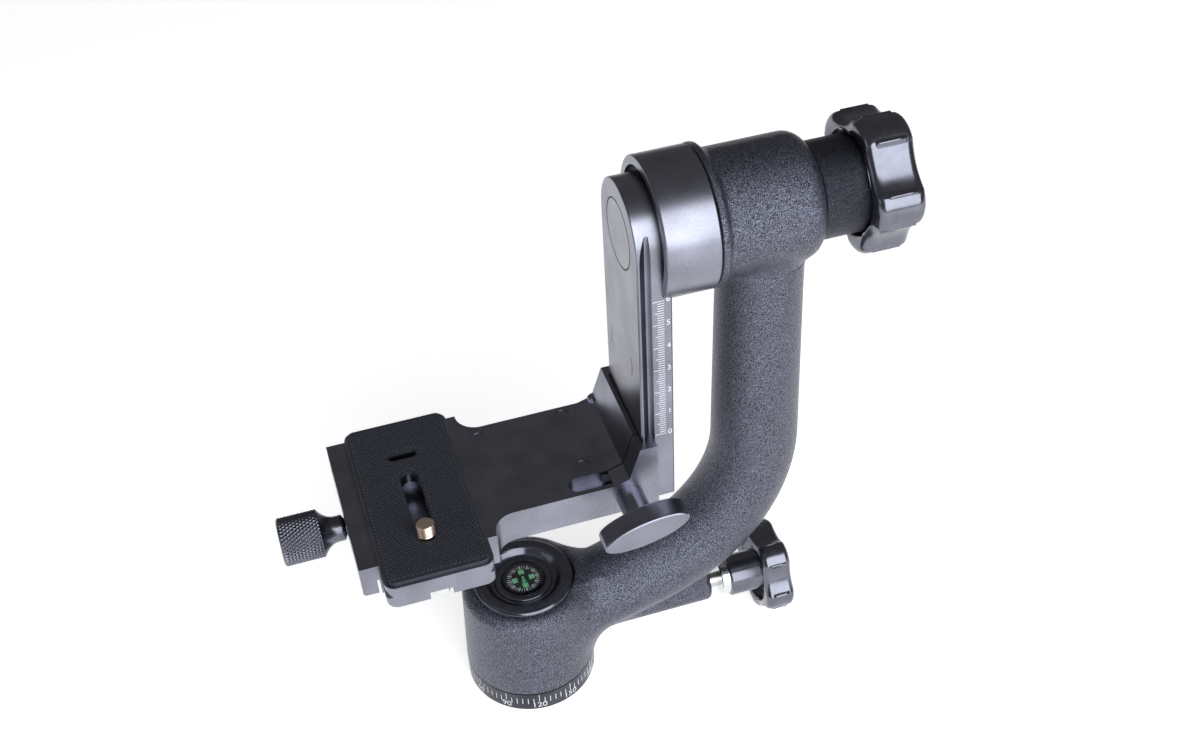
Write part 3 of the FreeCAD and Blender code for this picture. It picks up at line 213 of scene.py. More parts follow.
def makeRubber():
    # black rubber with a low sheen and a dusty grain
    material, tree, shader = newMaterial("rubber", {"Roughness": 0.42})
    dust = objectNoise(tree, 0.35, 3.0, 0.6).outputs["Fac"]
    tint(tree, shader, dust, 0.35, 0.7, "#202127", "#40424d")
    addBump(tree, shader, dust, 0.3, 0.05)
    return material


def makeInk(name, low, high):
    # screen-printed paint, a little uneven
    material, tree, shader = newMaterial(name, {"Roughness": 0.55})
    cover = objectNoise(tree, 0.5, 2.0).outputs["Fac"]
    tint(tree, shader, cover, 0.3, 0.6, low, high)
    return material


def makeWindow():
    # clear moulded plastic window with a faint green cast
    material, tree, shader = newMaterial("window", {"Roughness": 0.04, "IOR": 1.49,
                                                    "Transmission Weight": 1.0})
    haze = objectNoise(tree, 3.0, 2.0).outputs["Fac"]
    tint(tree, shader, haze, 0.0, 1.0, "#f2f8f5", "#ffffff")
    return material


crinklePaint = makeCrinklePaint("crinkle_paint", "#15161b", "#8d90a3", 0.3, 0.42, 0.16)
sleevePaint = makeCrinklePaint("sleeve_paint", "#17181d", "#4c4e5a", 0.42, 0.4, 0.16)
anodised = makeAnodised("anodised_aluminium", "#7a7b84", "#9293a0", 0.31, 0.3, 0.04)
# darker copy of the anodised finish: painted shade for the base plate's ring, which sits in
# shadow
anodisedShaded = makeAnodised("anodised_shaded", "#3c3d43", "#505159", 0.34, 0.3, 0.04)
anodisedSmooth = makeAnodised("anodised_smooth", "#7a7b84", "#9293a0", 0.28, 0.2, 0.02)
knurledMetal = makeAnodised("knurled_aluminium", "#50515a", "#74757f", 0.28, 0.3, 0.02)
knobPolymer = makePolymer("knob_polymer", "#6a6b74", "#72737d", 0.2, 0.95, 4.0, 0.03)
capPolymer = makePolymer("cap_polymer", "#5a5b63", "#60616a", 0.18, 0.9, 3.0, 0.02)
nylon = makePolymer("nylon", "#d9d6cb", "#e6e3d9", 0.5, 0.0, 1.0, 0.02)
steel = makeTurnedMetal("turned_steel", "#b3b2ae", "#cfcecb", 0.28, (1.0, 8.0, 8.0))
brightSteel = makeTurnedMetal("bright_steel", "#cfd0d0", "#e4e5e5", 0.14, (1.0, 1.0, 6.0))
bronze = makeTurnedMetal("bronze", "#d9b9a4", "#f3dfd2", 0.32, (1.0, 1.0, 6.0))
brass = makeTurnedMetal("brass", "#b99654", "#d6b673", 0.3, (6.0, 1.0, 1.0))
rubber = makeRubber()
window = makeWindow()
whiteInk = makeInk("white_ink", "#c9cad2", "#f3f3f7")
cardInk = makeInk("card_black", "#0c100e", "#161b18")
greenInk = makeInk("green_ink", "#2fcf76", "#86f2b2")
darkInk = makeInk("dark_seam", "#0b0b0d", "#17171a")
print("materials ready")

finishes = (
    # the base plate takes the darker copy of the anodised finish, which is painted shade
    (anodisedShaded, ["base_plate"]),
    (anodised, ["swing_collar", "swing_rail", "platform", "rail_jaw_fixed",
                "rail_jaw_moving", "clamp_jaw", "quick_plate", "deck_plugs"]),
    (anodisedSmooth, ["rail_cover", "wing_knob", "rail_jaw_screws"]),
    (crinklePaint, ["arm_casting"]),
    (sleevePaint, ["thrust_sleeve"]),
    (knobPolymer, ["pan_lock_knob", "tilt_knob"]),
    (capPolymer, ["compass_cap", "compass_cup"]),
    (nylon, ["thrust_washer", "friction_washer", "screw_clip"]),
    (steel, ["pan_spindle", "base_screws", "spindle_washer", "spindle_bolt", "compass_pin",
             "pan_lock_stud", "tilt_axle", "tilt_washer", "axle_bolt", "rail_dowels",
             "rail_jaw_pins", "rail_jaw_spring", "wing_screw", "clamp_pins",
             "clamp_springs", "clamp_screw"]),
    (brightSteel, ["pan_bearing_inner", "pan_bearing_outer", "pan_bearing_balls",
                   "tilt_bearing_inners", "tilt_bearing_outers", "tilt_bearing_balls",
                   "pan_lock_collar", "stop_screw"]),
    (brass, ["pan_lock_pad", "tilt_knob_insert"]),
    (bronze, ["camera_screw"]),
    (rubber, ["plate_pad"]),
    (knurledMetal, ["clamp_knob"]),
    (cardInk, ["compass_card"]),
    (window, ["compass_dome"]),
)
for finish, names in finishes:
    for name in names:
        for place in nodes[name].material_slots:
            place.material = finish


# Arm casting: the zero surface of a distance field, reached by rays from inside it

casting = {"towerLow": 9.9, "towerHigh": 49.8, "shoulder": 46.2, "wallLow": 25.6,
           "wallHigh": 24.2, "towerRound": 4.2, "rimRound": 0.4, "footHeight": 22.67,
           "footLength": 54.37, "footRadius": 15.6, "slope": math.radians(19),
           "bendX": 30.7, "bendZ": 100.5, "bendRadius": 63.6, "columnRound": 1.0,
           "tubeRadius": 16.4, "columnX": 94.3, "columnRadius": 15.5, "taperTop": 170.0,
           "columnTop": 190.0, "bossHeight": 18.9, "bossRadius": 7.2, "bossEnd": 76.0,
           "bossRound": 2.0, "webHalf": 6.2, "webEnd": 74.0, "webTop": 46.0, "webRound": 1.2,
           "tiltHeight": 204.3, "flangeStart": 71.8, "flangeEnd": 74.6, "flangeRadius": 24.7,
           "flangeRound": 1.4, "barrelEnd": 111.0, "barrelRadius": 22.0, "barrelRound": 7.0,
           "towerBlend": 9.0, "bossBlend": 5.0, "webBlend": 1.5, "waistBlend": 3.0,
           "barrelBlend": 4.5}


def smoothMin(a, b, width):
    # least of two distances with a fillet of about that width
    share = np.clip(0.5 + 0.5 * (b - a) / width, 0, 1)
    return b + (a - b) * share - width * share * (1 - share)


def roundMax(a, b, radius):
    # greatest of two distances with the edge rounded
    return (np.hypot(np.maximum(a + radius, 0), np.maximum(b + radius, 0))
            + np.minimum(np.maximum(a, b) + radius, 0) - radius)


def towerField(x, y, z):
    c = casting
    rise = (z - c["towerLow"]) / (c["shoulder"] - c["towerLow"])
    wall = np.hypot(x, y) - (c["wallLow"] + (c["wallHigh"] - c["wallLow"]) * rise)
    body = roundMax(wall, z - c["towerHigh"], c["towerRound"])
    return roundMax(body, c["towerLow"] - z, c["rimRound"])


def tubeField(x, y, z):
    c = casting
    cosine, sine = math.cos(c["slope"]), math.sin(c["slope"])
    along = x * cosine + (z - c["footHeight"]) * sine
    aside = (z - c["footHeight"]) * cosine - x * sine
    share = np.clip(along / c["footLength"], 0, 1)
    foot = (np.hypot(np.hypot(aside, y), np.minimum(along, 0))
            - c["footRadius"] - (c["tubeRadius"] - c["footRadius"]) * share)
    ring = np.hypot(x - c["bendX"], z - c["bendZ"]) - c["bendRadius"]
    bend = np.hypot(ring, y) - c["tubeRadius"]
    share = np.clip((z - c["bendZ"]) / (c["taperTop"] - c["bendZ"]), 0, 1)
    radius = c["tubeRadius"] + (c["columnRadius"] - c["tubeRadius"]) * share
    column = roundMax(np.hypot(x - c["columnX"], y) - radius, z - c["columnTop"],
                      c["columnRound"])
    onColumn = (z > c["bendZ"]) & (x > c["bendX"])
    return np.where(onColumn, column, np.where(along < c["footLength"], foot, bend))


def castingField(points):
    c = casting
    x, y, z = points[..., 0], points[..., 1], points[..., 2]
    boss = roundMax(np.hypot(y, z - c["bossHeight"]) - c["bossRadius"],
                    np.abs(x - c["bossEnd"] / 2) - c["bossEnd"] / 2, c["bossRound"])
    web = roundMax(np.abs(y) - c["webHalf"], np.abs(x - c["webEnd"] / 2) - c["webEnd"] / 2,
                   c["webRound"])
    web = np.maximum(web, np.maximum(z - c["webTop"], c["bossHeight"] - z))
    limb = smoothMin(tubeField(x, y, z), smoothMin(boss, web, c["webBlend"]), c["bossBlend"])
    lower = smoothMin(towerField(x, y, z), limb, c["towerBlend"])
    across = np.hypot(y, z - c["tiltHeight"])
    flange = roundMax(across - c["flangeRadius"], x - c["flangeEnd"], c["flangeRound"])
    body = roundMax(across - c["barrelRadius"], x - c["barrelEnd"], c["barrelRound"])
    barrel = smoothMin(flange, body, c["waistBlend"])
    barrel = roundMax(barrel, c["flangeStart"] - x, c["rimRound"])
    return smoothMin(lower, barrel, c["barrelBlend"])


march = {"farthest": 400.0, "steps": 80, "leastFacing": 0.001}


def castRays(origins, targets, planePoint=None, planeNormal=None):
    # walks every ray by the field's own depth until it leaves the casting or meets the plane
    rays = targets - origins
    rays = rays / np.linalg.norm(rays, axis=-1, keepdims=True)
    reach = np.full(rays.shape[:-1], march["farthest"])
    if planePoint is not None:
        facing = rays @ planeNormal
        gap = (planePoint - origins) @ planeNormal
        least = march["leastFacing"]
        reach = np.where(facing > least, gap / np.maximum(facing, least), reach)
    travel = np.zeros(reach.shape)
    for step in range(march["steps"]):
        depth = -castingField(origins + rays * travel[..., None])
        travel = np.minimum(travel + np.maximum(depth, 0), reach)
    return origins + rays * travel[..., None]


def guide(*runs):
    # values along straight runs, each (start, end, count)
    return np.concatenate([np.linspace(start, end, count, endpoint=False)
                           for start, end, count in runs])


def around(count):
    return np.linspace(0, 2 * np.pi, count, endpoint=False)


# rows of targets over the top, its edge, the wall, the foot's edge and the underside
towerRows = {"radius": [(19.0, 22.5, 9), (22.5, 25.0, 9), (25.0, 25.6, 44), (25.6, 25.6, 5),
                        (25.2, 16.0, 6)],
             "height": [(49.8, 49.8, 9), (49.8, 46.0, 9), (46.0, 11.5, 44), (11.5, 9.9, 5),
                        (9.9, 9.9, 6)],
             "startLow": 20.0, "startHigh": 30.0, "columns": 288, "limbCut": 31.5}


def towerSkin():
    c, rows = casting, towerRows
    turn = around(rows["columns"])[None, :]
    radius = guide(*rows["radius"])[:, None]
    height = guide(*rows["height"])[:, None]
    start = np.clip(height, rows["startLow"], rows["startHigh"])
    targets = np.stack(np.broadcast_arrays(radius * np.cos(turn), radius * np.sin(turn),
                                           height), axis=-1)
    origins = np.stack(np.broadcast_arrays(0 * turn, 0 * turn, start), axis=-1)
    normal = np.array([math.cos(c["slope"]), 0, math.sin(c["slope"])])
    plane = np.array([0, 0, c["footHeight"]]) + normal * rows["limbCut"]
    return castRays(origins.astype(float), targets, plane, normal)


# rows along the foot, round the bend (degrees) and up the column; in the web's reach the
# rays start aside from the tube's middle, nearer to the web
limbRows = {"foot": (28.5, 54.37, 26), "bend": [(71, 67, 6), (67, 50, 44), (50, 0, 40)],
            "column": (100.5, 186.0, 40), "aside": 8, "asideEnd": 45, "asideFade": 20,
            "columns": 240}


def limbSkin():
    c, rows = casting, limbRows
    along = guide(rows["foot"])
    angle = np.radians(guide(*rows["bend"]))
    height = guide(rows["column"])
    cosine, sine = math.cos(c["slope"]), math.sin(c["slope"])
    middle = np.concatenate([
        np.stack([along * cosine, 0 * along, c["footHeight"] + along * sine], 1),
        np.stack([c["bendX"] + c["bendRadius"] * np.cos(angle), 0 * angle,
                  c["bendZ"] - c["bendRadius"] * np.sin(angle)], 1),
        np.stack([np.full(len(height), c["columnX"]), 0 * height, height], 1)])
    outward = np.concatenate([
        np.tile([sine, 0, -cosine], (len(along), 1)),
        np.stack([np.cos(angle), 0 * angle, -np.sin(angle)], 1),
        np.tile([1.0, 0, 0], (len(height), 1))])
    fade = np.clip((np.degrees(angle) - rows["asideEnd"]) / rows["asideFade"], 0, 1)
    shift = rows["aside"] * np.concatenate([np.ones(len(along)), fade, np.zeros(len(height))])
    turn = around(rows["columns"])[None, :, None]
    origins = (middle + outward * shift[:, None])[:, None, :]
    rays = outward[:, None, :] * np.cos(turn) + np.array([0, 1.0, 0]) * np.sin(turn)
    return castRays(origins + 0 * rays, origins + rays)


# rows over the flange's face, its edge and the wall, then a quarter round, then the end
barrelRows = {"place": [(71.8, 71.8, 6), (71.9, 78.5, 20), (78.5, 104.0, 20)],
              "radius": [(14.0, 24.6, 6), (24.7, 22.0, 20), (22.0, 22.0, 20)],
              "arcPlace": 104, "arcRadius": 15, "arcRound": 7, "arcRows": 14,
              "endPlace": (111.0, 111.0, 5), "endRadius": (15.0, 13.0, 5),
              "startLow": 73.5, "startHigh": 101.0, "columns": 256, "columnCut": 179.0}


def barrelSkin():
    c, rows = casting, barrelRows
    turn = around(rows["columns"])[None, :]
    arc = guide((0, math.pi / 2, rows["arcRows"]))
    place = np.concatenate([guide(*rows["place"]),
                            rows["arcPlace"] + rows["arcRound"] * np.sin(arc),
                            guide(rows["endPlace"])])[:, None]
    radius = np.concatenate([guide(*rows["radius"]),
                             rows["arcRadius"] + rows["arcRound"] * np.cos(arc),
                             guide(rows["endRadius"])])[:, None]
    start = np.clip(place, rows["startLow"], rows["startHigh"])
    tall = c["tiltHeight"]
    targets = np.stack(np.broadcast_arrays(place, radius * np.cos(turn),
                                           tall + radius * np.sin(turn)), axis=-1)
    origins = np.stack(np.broadcast_arrays(start, 0 * turn, tall + 0 * turn), axis=-1)
    return castRays(origins, targets, np.array([0, 0, rows["columnCut"]]),
                    np.array([0, 0, -1.0]))


tower = gridPiece("casting_tower", towerSkin(), "arm", crinklePaint, True)
gridPiece("casting_limb", limbSkin(), "arm", crinklePaint)
gridPiece("casting_barrel", barrelSkin(), "arm", crinklePaint, True)
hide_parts("arm_casting")
print("casting ready")


# Clamp knob with a diamond knurl: pyramids between two crossing families of helical grooves

knurl = {"height": 101.8, "starts": 40, "angle": math.radians(30), "depth": 0.5,
         "radius": 8.75, "knurlStart": -85.0, "knurlEnd": -71.0, "fade": 0.4, "crest": 0.25,
         "crossShare": 0.8, "columnsPerStart": 12,
         "place": [(-85.6, -85.6, 4), (-85.6, -84.9, 4), (-84.9, -71.2, 92),
                   (-71.2, -70.6, 4), (-70.6, -64.6, 14), (-64.6, -61.95, 3)],
         "rim": [(0.4, 7.9, 4), (7.9, 8.75, 4), (8.75, 8.75, 92), (8.75, 8.0, 4)],
         "neck": 4.7, "flare": 3.3, "flareRows": 14, "flarePower": 2.6, "end": -61.95,
         "endRadius": 3.0}


def knobSkin():
    # face, rim and knurled wall, a flare down to the neck, then the neck's end
    k = knurl
    place = np.append(guide(*k["place"]), k["end"])
    away = 1 - np.linspace(0, 1, k["flareRows"], endpoint=False)
    radius = np.concatenate([guide(*k["rim"]), k["neck"] + k["flare"] * away ** k["flarePower"],
                             [k["neck"]] * 3, [k["endRadius"]]])
    x, spin = np.meshgrid(place, around(k["starts"] * k["columnsPerStart"]), indexing="ij")
    pitch = 2 * np.pi * k["radius"] / k["starts"]
    lead = x * math.tan(k["angle"]) / pitch
    count = spin * k["starts"] / (2 * np.pi)
    groove = np.maximum(np.abs(2 * ((count + lead) % 1) - 1),
                        k["crossShare"] * np.abs(2 * ((count - lead) % 1) - 1))
    inside = (np.clip((x - k["knurlStart"]) / k["fade"], 0, 1)
              * np.clip((k["knurlEnd"] - x) / k["fade"], 0, 1))
    cut = k["depth"] * np.maximum(groove - k["crest"], 0) / (1 - k["crest"])
    reach = radius[:, None] - cut * inside
    return np.stack([x, reach * np.cos(spin), k["height"] + reach * np.sin(spin)], axis=-1)


knob = gridPiece("clamp_knob_knurled", knobSkin(), "clamp_knob", knurledMetal)
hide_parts("clamp_knob")


# Star knobs: five round lobes, a thin bead beside each lobe, shallow scallops between

tiltKnob = {"radius": 25.5, "phase": 5.0, "valley": 4.4, "start": 125.6, "end": 143.0,
            "height": 204.3, "round": 3.4, "recess": 18.4, "bead": 0.85,
            "hollow": [(139.3, 0.4), (139.3, 5.05), (136.65, 5.1), (136.65, 8.0),
                       (132.65, 8.02), (132.6, 8.1), (132.6, 18.2), (126.6, 18.4)]}
panKnob = {"radius": 19.0, "phase": -11.0, "valley": 3.2, "start": 95.6, "end": 107.4,
           "height": 18.9, "round": 2.6, "recess": 13.0, "bead": 0.6,
           "hollow": [(84.2, 0.4), (84.2, 7.6), (84.4, 8.1), (84.8, 8.3), (99.7, 8.3),
                      (100.1, 8.7), (100.1, 12.8), (96.4, 13.0)]}
lobes = {"count": 5, "half": math.radians(14), "drop": 0.04, "beadWidth": 0.6,
         "beadShift": 0.02, "columns": 600, "roundRows": 11, "wallRows": 5, "wallClear": 0.3,
         "rims": [(0.5, 0.1), (0.0, 0.6)], "faceShares": (0.9, 0.6, 0.3, 0.02)}


def starProfile(k, turn):
    # crest and scallop are circles through the ridge; the bead is a bell curve on it
    pitch = 2 * math.pi / lobes["count"]
    away = np.abs((turn - math.radians(k["phase"]) + pitch / 2) % pitch - pitch / 2)
    half, ridge = lobes["half"], k["radius"] * (1 - lobes["drop"])
    chord, rise = ridge * math.sin(half), k["radius"] - ridge * math.cos(half)
    crest = (chord ** 2 + rise ** 2) / (2 * rise)
    centre = k["radius"] - crest
    lobe = centre * np.cos(away) + np.sqrt(crest ** 2 - (centre * np.sin(away)) ** 2)
    low = k["radius"] - k["valley"]
    angle = pitch / 2 - half
    chord, dip = ridge * math.sin(angle), ridge * math.cos(angle) - low
    hollow = (chord ** 2 + dip ** 2) / (2 * dip)
    centre, aside = low + hollow, pitch / 2 - away
    reach = np.maximum(hollow ** 2 - (centre * np.sin(aside)) ** 2, 0)
    scallop = centre * np.cos(aside) - np.sqrt(reach)
    beadAway = (away - half - lobes["beadShift"]) * ridge
    bead = np.exp(-(beadAway / lobes["beadWidth"]) ** 2)
    return np.where(away < half, lobe, scallop), bead * k["bead"]


def starSkin(k):
    # hollow, rim, back rounding, beaded wall, front rounding, then the face
    turn = around(lobes["columns"])
    outline, bead = starProfile(k, turn)
    arc = np.linspace(0, math.pi / 2, lobes["roundRows"])
    soft, clear = k["round"], k["round"] + lobes["wallClear"]
    rims = [(k["start"] + along, k["recess"] + out) for along, out in lobes["rims"]]
    rows = [(x, np.full(len(turn), r)) for x, r in k["hollow"] + rims]
    rows += [(k["start"] + soft * (1 - math.cos(a)), outline - soft * (1 - math.sin(a)))
             for a in arc]
    rows += [(x, outline + bead) for x in np.linspace(k["start"] + clear, k["end"] - clear,
                                                      lobes["wallRows"])]
    rows += [(k["end"] - soft * (1 - math.sin(a)), outline - soft * (1 - math.cos(a)))
             for a in arc]
    rows += [(k["end"], (outline - soft) * share) for share in lobes["faceShares"]]
    x = np.array([row[0] for row in rows])[:, None] + 0 * turn
    reach = np.array([row[1] for row in rows])
    return np.stack([x, -reach * np.cos(turn), k["height"] + reach * np.sin(turn)], axis=-1)


for node, body, sizes in (("tilt_knob", "tilt_lock", tiltKnob),
                          ("pan_lock_knob", "pan_lock", panKnob)):
    star = gridPiece(node + "_star", starSkin(sizes), body, knobPolymer)
    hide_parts(node)


# Camera screw: a stud whose radius follows a triangular thread along a helix

screw = {"x": -36.6, "y": -26.9, "low": 109.4, "neckTop": 116.35, "neck": 2.6,
         "root": 2.65, "crest": 3.175, "pitch": 1.27, "top": 121.8, "chamfer": 0.5,
         "toothSlope": 1.25, "runIn": 0.5, "foot": 107.7, "topRadii": [2.65, 2.0, 1.0, 0.2],
         "dimple": 0.01, "headRadius": 6.4, "headLow": 106.0, "slotTop": 107.6,
         "slotHalf": 0.8, "overlap": 0.01, "columns": 96}


def studSkin():
    s = screw
    height = np.concatenate([guide((s["foot"], s["low"], 3), (s["low"], s["neckTop"], 6),
                                   (s["neckTop"], s["top"], 56)),
                             [s["top"]] * len(s["topRadii"])])
    z, spin = np.meshgrid(height, around(s["columns"]), indexing="ij")
    phase = ((z - s["pitch"] * spin / (2 * np.pi)) / s["pitch"]) % 1
    tooth = np.clip(s["toothSlope"] * (1 - np.abs(2 * phase - 1)), 0, 1)
    fade = np.clip((z - s["neckTop"]) / s["runIn"], 0, 1)
    radius = s["neck"] + (s["root"] + (s["crest"] - s["root"]) * tooth - s["neck"]) * fade
    radius = np.minimum(radius, s["crest"] - s["chamfer"] + np.maximum(s["top"] - z, 0))
    radius[-len(s["topRadii"]):] = np.array(s["topRadii"])[:, None]
    z[-3] -= s["dimple"]
    return np.stack([s["x"] + radius * np.cos(spin), s["y"] + radius * np.sin(spin), z],
                    axis=-1)


def prism(name, outline, low, high):
    # upright prism over a closed outline of (x, y) points
    ring = np.column_stack([outline, np.full(len(outline), low)])
    lid = np.column_stack([outline, np.full(len(outline), high)])
    count = len(outline)
    points = np.concatenate([ring, lid])
    first = np.arange(count)
    mesh = makeMesh(name, points, gridQuads(2, count, False, True), [first, first + count])
    faceOutward(mesh)
    return mesh


def headOutline(spin):
    return np.stack([screw["x"] + screw["headRadius"] * np.cos(spin),
                     screw["y"] + screw["headRadius"] * np.sin(spin)], 1)


def slottedHead():
    # a disc and, below it, two halves with the driver's slot between them
    s = screw
    parts = [prism("head_disc", headOutline(around(s["columns"])), s["slotTop"], s["low"])]
    edge = math.asin(s["slotHalf"] / s["headRadius"])
    for side in (1, -1):
        spin = np.linspace(edge, math.pi - edge, s["columns"] // 2) * side
        parts.append(prism("head_half", headOutline(spin), s["headLow"],
                           s["slotTop"] + s["overlap"]))
    return parts


stud = gridPiece("camera_stud", studSkin(), "camera_screw", bronze)
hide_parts("camera_screw")
for number, mesh in enumerate(slottedHead()):
    addPiece("camera_screw_head_%d" % number, mesh, "camera_screw", bronze, False)
print("knurl and thread ready")


# Printed marks: flat slabs and letters laid on a plane or rolled round a cylinder

def slabs(name, boxes):
    # thin slabs (u low, u high, v low, v high) as one mesh of flat boxes, w from 0 to 1
    low = np.array([(a, c) for a, b, c, d in boxes], float)
    high = np.array([(b, d) for a, b, c, d in boxes], float)
    corners = [(0, 0, 0), (1, 0, 0), (1, 1, 0), (0, 1, 0), (0, 0, 1), (1, 0, 1), (1, 1, 1),
               (0, 1, 1)]
    sides = np.array([(0, 3, 2, 1), (4, 5, 6, 7), (0, 1, 5, 4), (1, 2, 6, 5), (2, 3, 7, 6),
                      (3, 0, 4, 7)])
    pick = np.array(corners, float)
    u = low[:, :1] + (high[:, :1] - low[:, :1]) * pick[:, 0]
    v = low[:, 1:] + (high[:, 1:] - low[:, 1:]) * pick[:, 1]
    w = np.broadcast_to(pick[:, 2], u.shape)
    points = np.stack([u, v, w], axis=-1).reshape(-1, 3)
    quads = (sides[None] + 8 * np.arange(len(boxes))[:, None, None]).reshape(-1, 4)
    return makeMesh(name, points, quads)


def pointsOf(mesh):
    flat = np.empty(len(mesh.vertices) * 3, np.float32)
    mesh.vertices.foreach_get("co", flat)
    return flat.reshape(-1, 3).astype(float) / mm


def setPoints(mesh, points):
    mesh.vertices.foreach_set("co", (points * mm).astype(np.float32).ravel())
    mesh.update()


capitalShare = 0.7


def textMesh(words, size, shift=(0, 0), thick=1.0):
    # letters as a mesh in mm, centred on the shift, w from 0 to thick
    curve = bpy.data.curves.new("letters", "FONT")
    curve.body = words
    curve.size = size * mm / capitalShare
    curve.align_x = "CENTER"
    curve.align_y = "CENTER"
    curve.extrude = 0.5 * mm
    holder = bpy.data.objects.new("letters", curve)
    bpy.context.scene.collection.objects.link(holder)
    bpy.context.view_layer.update()
    mesh = bpy.data.meshes.new_from_object(holder)
    bpy.data.objects.remove(holder)
    points = pointsOf(mesh) + (shift[0], shift[1], 0.5)
    setPoints(mesh, points * (1, 1, thick))
    return mesh


def placeMarks(mesh, place, body, name, material):
    setPoints(mesh, place(pointsOf(mesh)))
    mesh.materials.clear()
    return addPiece(name, mesh, body, material, False)


ring = {"radius": 25.5, "proud": 0.035, "sunk": 0.02, "zeroAngle": 142.0, "step": 5,
        "numberStep": 30, "shortLow": 3.9, "shortHigh": 7.1, "longLow": 5.0, "longHigh": 9.0,
        "halfWidth": 0.14, "numberHeight": 2.9, "textSize": 2.9}


def onRing(turn):
    def place(points):
        reach = ring["radius"] - ring["sunk"] + (ring["sunk"] + ring["proud"]) * points[:, 2]
        angle = math.radians(turn) + points[:, 0] / ring["radius"]
        return np.stack([reach * np.cos(angle), reach * np.sin(angle), points[:, 1]], 1)
    return place


tickBoxes = []
for degree in range(0, 360, ring["step"]):
    centre = math.radians(degree) * ring["radius"]
    isLong = degree % ring["numberStep"] == 0
    low, high = (ring["longLow"], ring["longHigh"]) if isLong else (ring["shortLow"],
                                                                    ring["shortHigh"])
    tickBoxes.append((centre - ring["halfWidth"], centre + ring["halfWidth"], low, high))
placeMarks(slabs("degree_ticks", tickBoxes), onRing(ring["zeroAngle"]), "base",
           "degree_ticks", whiteInk)
for degree in range(0, 360, ring["numberStep"]):
    letters = textMesh(str(degree), ring["textSize"], (0, ring["numberHeight"]))
    placeMarks(letters, onRing(degree + ring["zeroAngle"]), "base",
               "degree_number_%d" % degree, whiteInk)

scale = {"face": -19.0, "proud": 0.03, "sunk": 0.02, "zero": 128.0, "last": 60,
         "tickEnd": 53.05, "starts": {10: 49.1, 5: 49.9, 1: 50.7}, "halfWidth": 0.13,
         "numberX": 54.5, "numberRise": 0.4, "textSize": 2.2}


def onRail(points):
    reach = scale["face"] + scale["sunk"] - (scale["sunk"] + scale["proud"]) * points[:, 2]
    return np.stack([points[:, 0], reach, points[:, 1]], 1)


railBoxes = []
for step in range(scale["last"] + 1):
    start = scale["starts"][10 if step % 10 == 0 else 5 if step % 5 == 0 else 1]
    z = scale["zero"] + step
    railBoxes.append((start, scale["tickEnd"], z - scale["halfWidth"],
                      z + scale["halfWidth"]))
placeMarks(slabs("rail_ticks", railBoxes), onRail, "swing", "rail_ticks", whiteInk)
for number in range(scale["last"] // 10 + 1):
    rise = scale["zero"] + 10 * number + scale["numberRise"]
    letters = textMesh(str(number), scale["textSize"], (scale["numberX"], rise))
    placeMarks(letters, onRail, "swing", "rail_number_%d" % number, whiteInk)
print("scales ready")


# Seam of the rail cover and two thin arcs on the rail, as dark slabs bent round a centre

face = {"x": 44.0, "proud": 0.03, "sunk": 0.02, "seamRadius": 12.2, "seamHalf": 0.3,
        "seam": (0, 360, 90), "height": 204.3, "markRadius": 7.5, "markHalf": 0.16,
        "mark": (150, 210, 12), "marks": [(20.1, 150.4), (-2.9, 153.9)]}


def arcOnFace(y, z):
    def place(points):
        reach = face["x"] + face["sunk"] - (face["sunk"] + face["proud"]) * points[:, 2]
        turn = points[:, 0]
        return np.stack([reach, y + points[:, 1] * np.cos(turn),
                         z + points[:, 1] * np.sin(turn)], 1)
    return place


def arcBoxes(low, high, count, radius, half):
    edges = np.radians(np.linspace(low, high, count + 1))
    return [(a, b, radius - half, radius + half) for a, b in zip(edges[:-1], edges[1:])]


seam = arcBoxes(*face["seam"], face["seamRadius"], face["seamHalf"])
placeMarks(slabs("cover_seam", seam), arcOnFace(0, face["height"]), "swing", "cover_seam",
           darkInk)
for number, (y, z) in enumerate(face["marks"]):
    arc = arcBoxes(*face["mark"], face["markRadius"], face["markHalf"])
    placeMarks(slabs("rail_mark", arc), arcOnFace(y, z), "swing", "rail_mark_%d" % number,
               darkInk)


# Compass cap: a lathe profile with a rounded lip, a sloping dish and a raised island

cap = {"bore": [(8.32, 47.2), (8.32, 49.6), (8.52, 49.8)], "island": (11.2, 49.8, 0.7),
       "dish": [(11.25, 48.7), (11.4, 48.6), (12.1, 48.6), (12.6, 48.75)],
       "slopeStart": (12.5, 48.6), "slopeEnd": (15.4, 51.5), "lip": (19.5, 51.5, 1.7),
       "slope": [(0.3, 0.3), (0.6, 0.68), (0.8, 0.9), (0.95, 0.985), (1.1, 1.0)],
       "foot": (19.5, 47.2), "roundRows": 10, "columns": 192}


def quarterRound(edge, top, soft):
    # from the top face out and down to the side, as (radius, height)
    return [(edge - soft * (1 - math.sin(a)), top - soft * (1 - math.cos(a)))
            for a in np.linspace(0, math.pi / 2, cap["roundRows"])]


def capSkin():
    c = cap
    start, end = np.array(c["slopeStart"]), np.array(c["slopeEnd"])
    slope = [tuple(start + (end - start) * share) for share in c["slope"]]
    profile = np.array(c["bore"] + quarterRound(*c["island"]) + c["dish"] + slope
                       + quarterRound(*c["lip"]) + [c["foot"]])
    turn = around(c["columns"])[None, :]
    radius, height = profile[:, :1], profile[:, 1:] + 0 * turn
    return np.stack([radius * np.cos(turn), radius * np.sin(turn), height], axis=-1)


lid = gridPiece("compass_cap_lathe", capSkin(), "arm", capPolymer, True)
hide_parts("compass_cap")


# Rubber pad: low pyramids in crossing rows over its whole top, clear of the slots

pad = {"left": -54.0, "right": -18.2, "near": -44.0, "far": 30.9, "top": 116.2,
       "pitch": 1.6, "rise": 0.7, "border": 1.0, "slotX": -36.6, "slotHalf": 3.3,
       "slotNear": -26.9, "slotFar": 1.6, "anchorY": 13.8, "anchorHalf": 1.9,
       "anchorRun": 5.2, "clear": 0.25, "baseShare": 0.96, "sunk": 0.05}


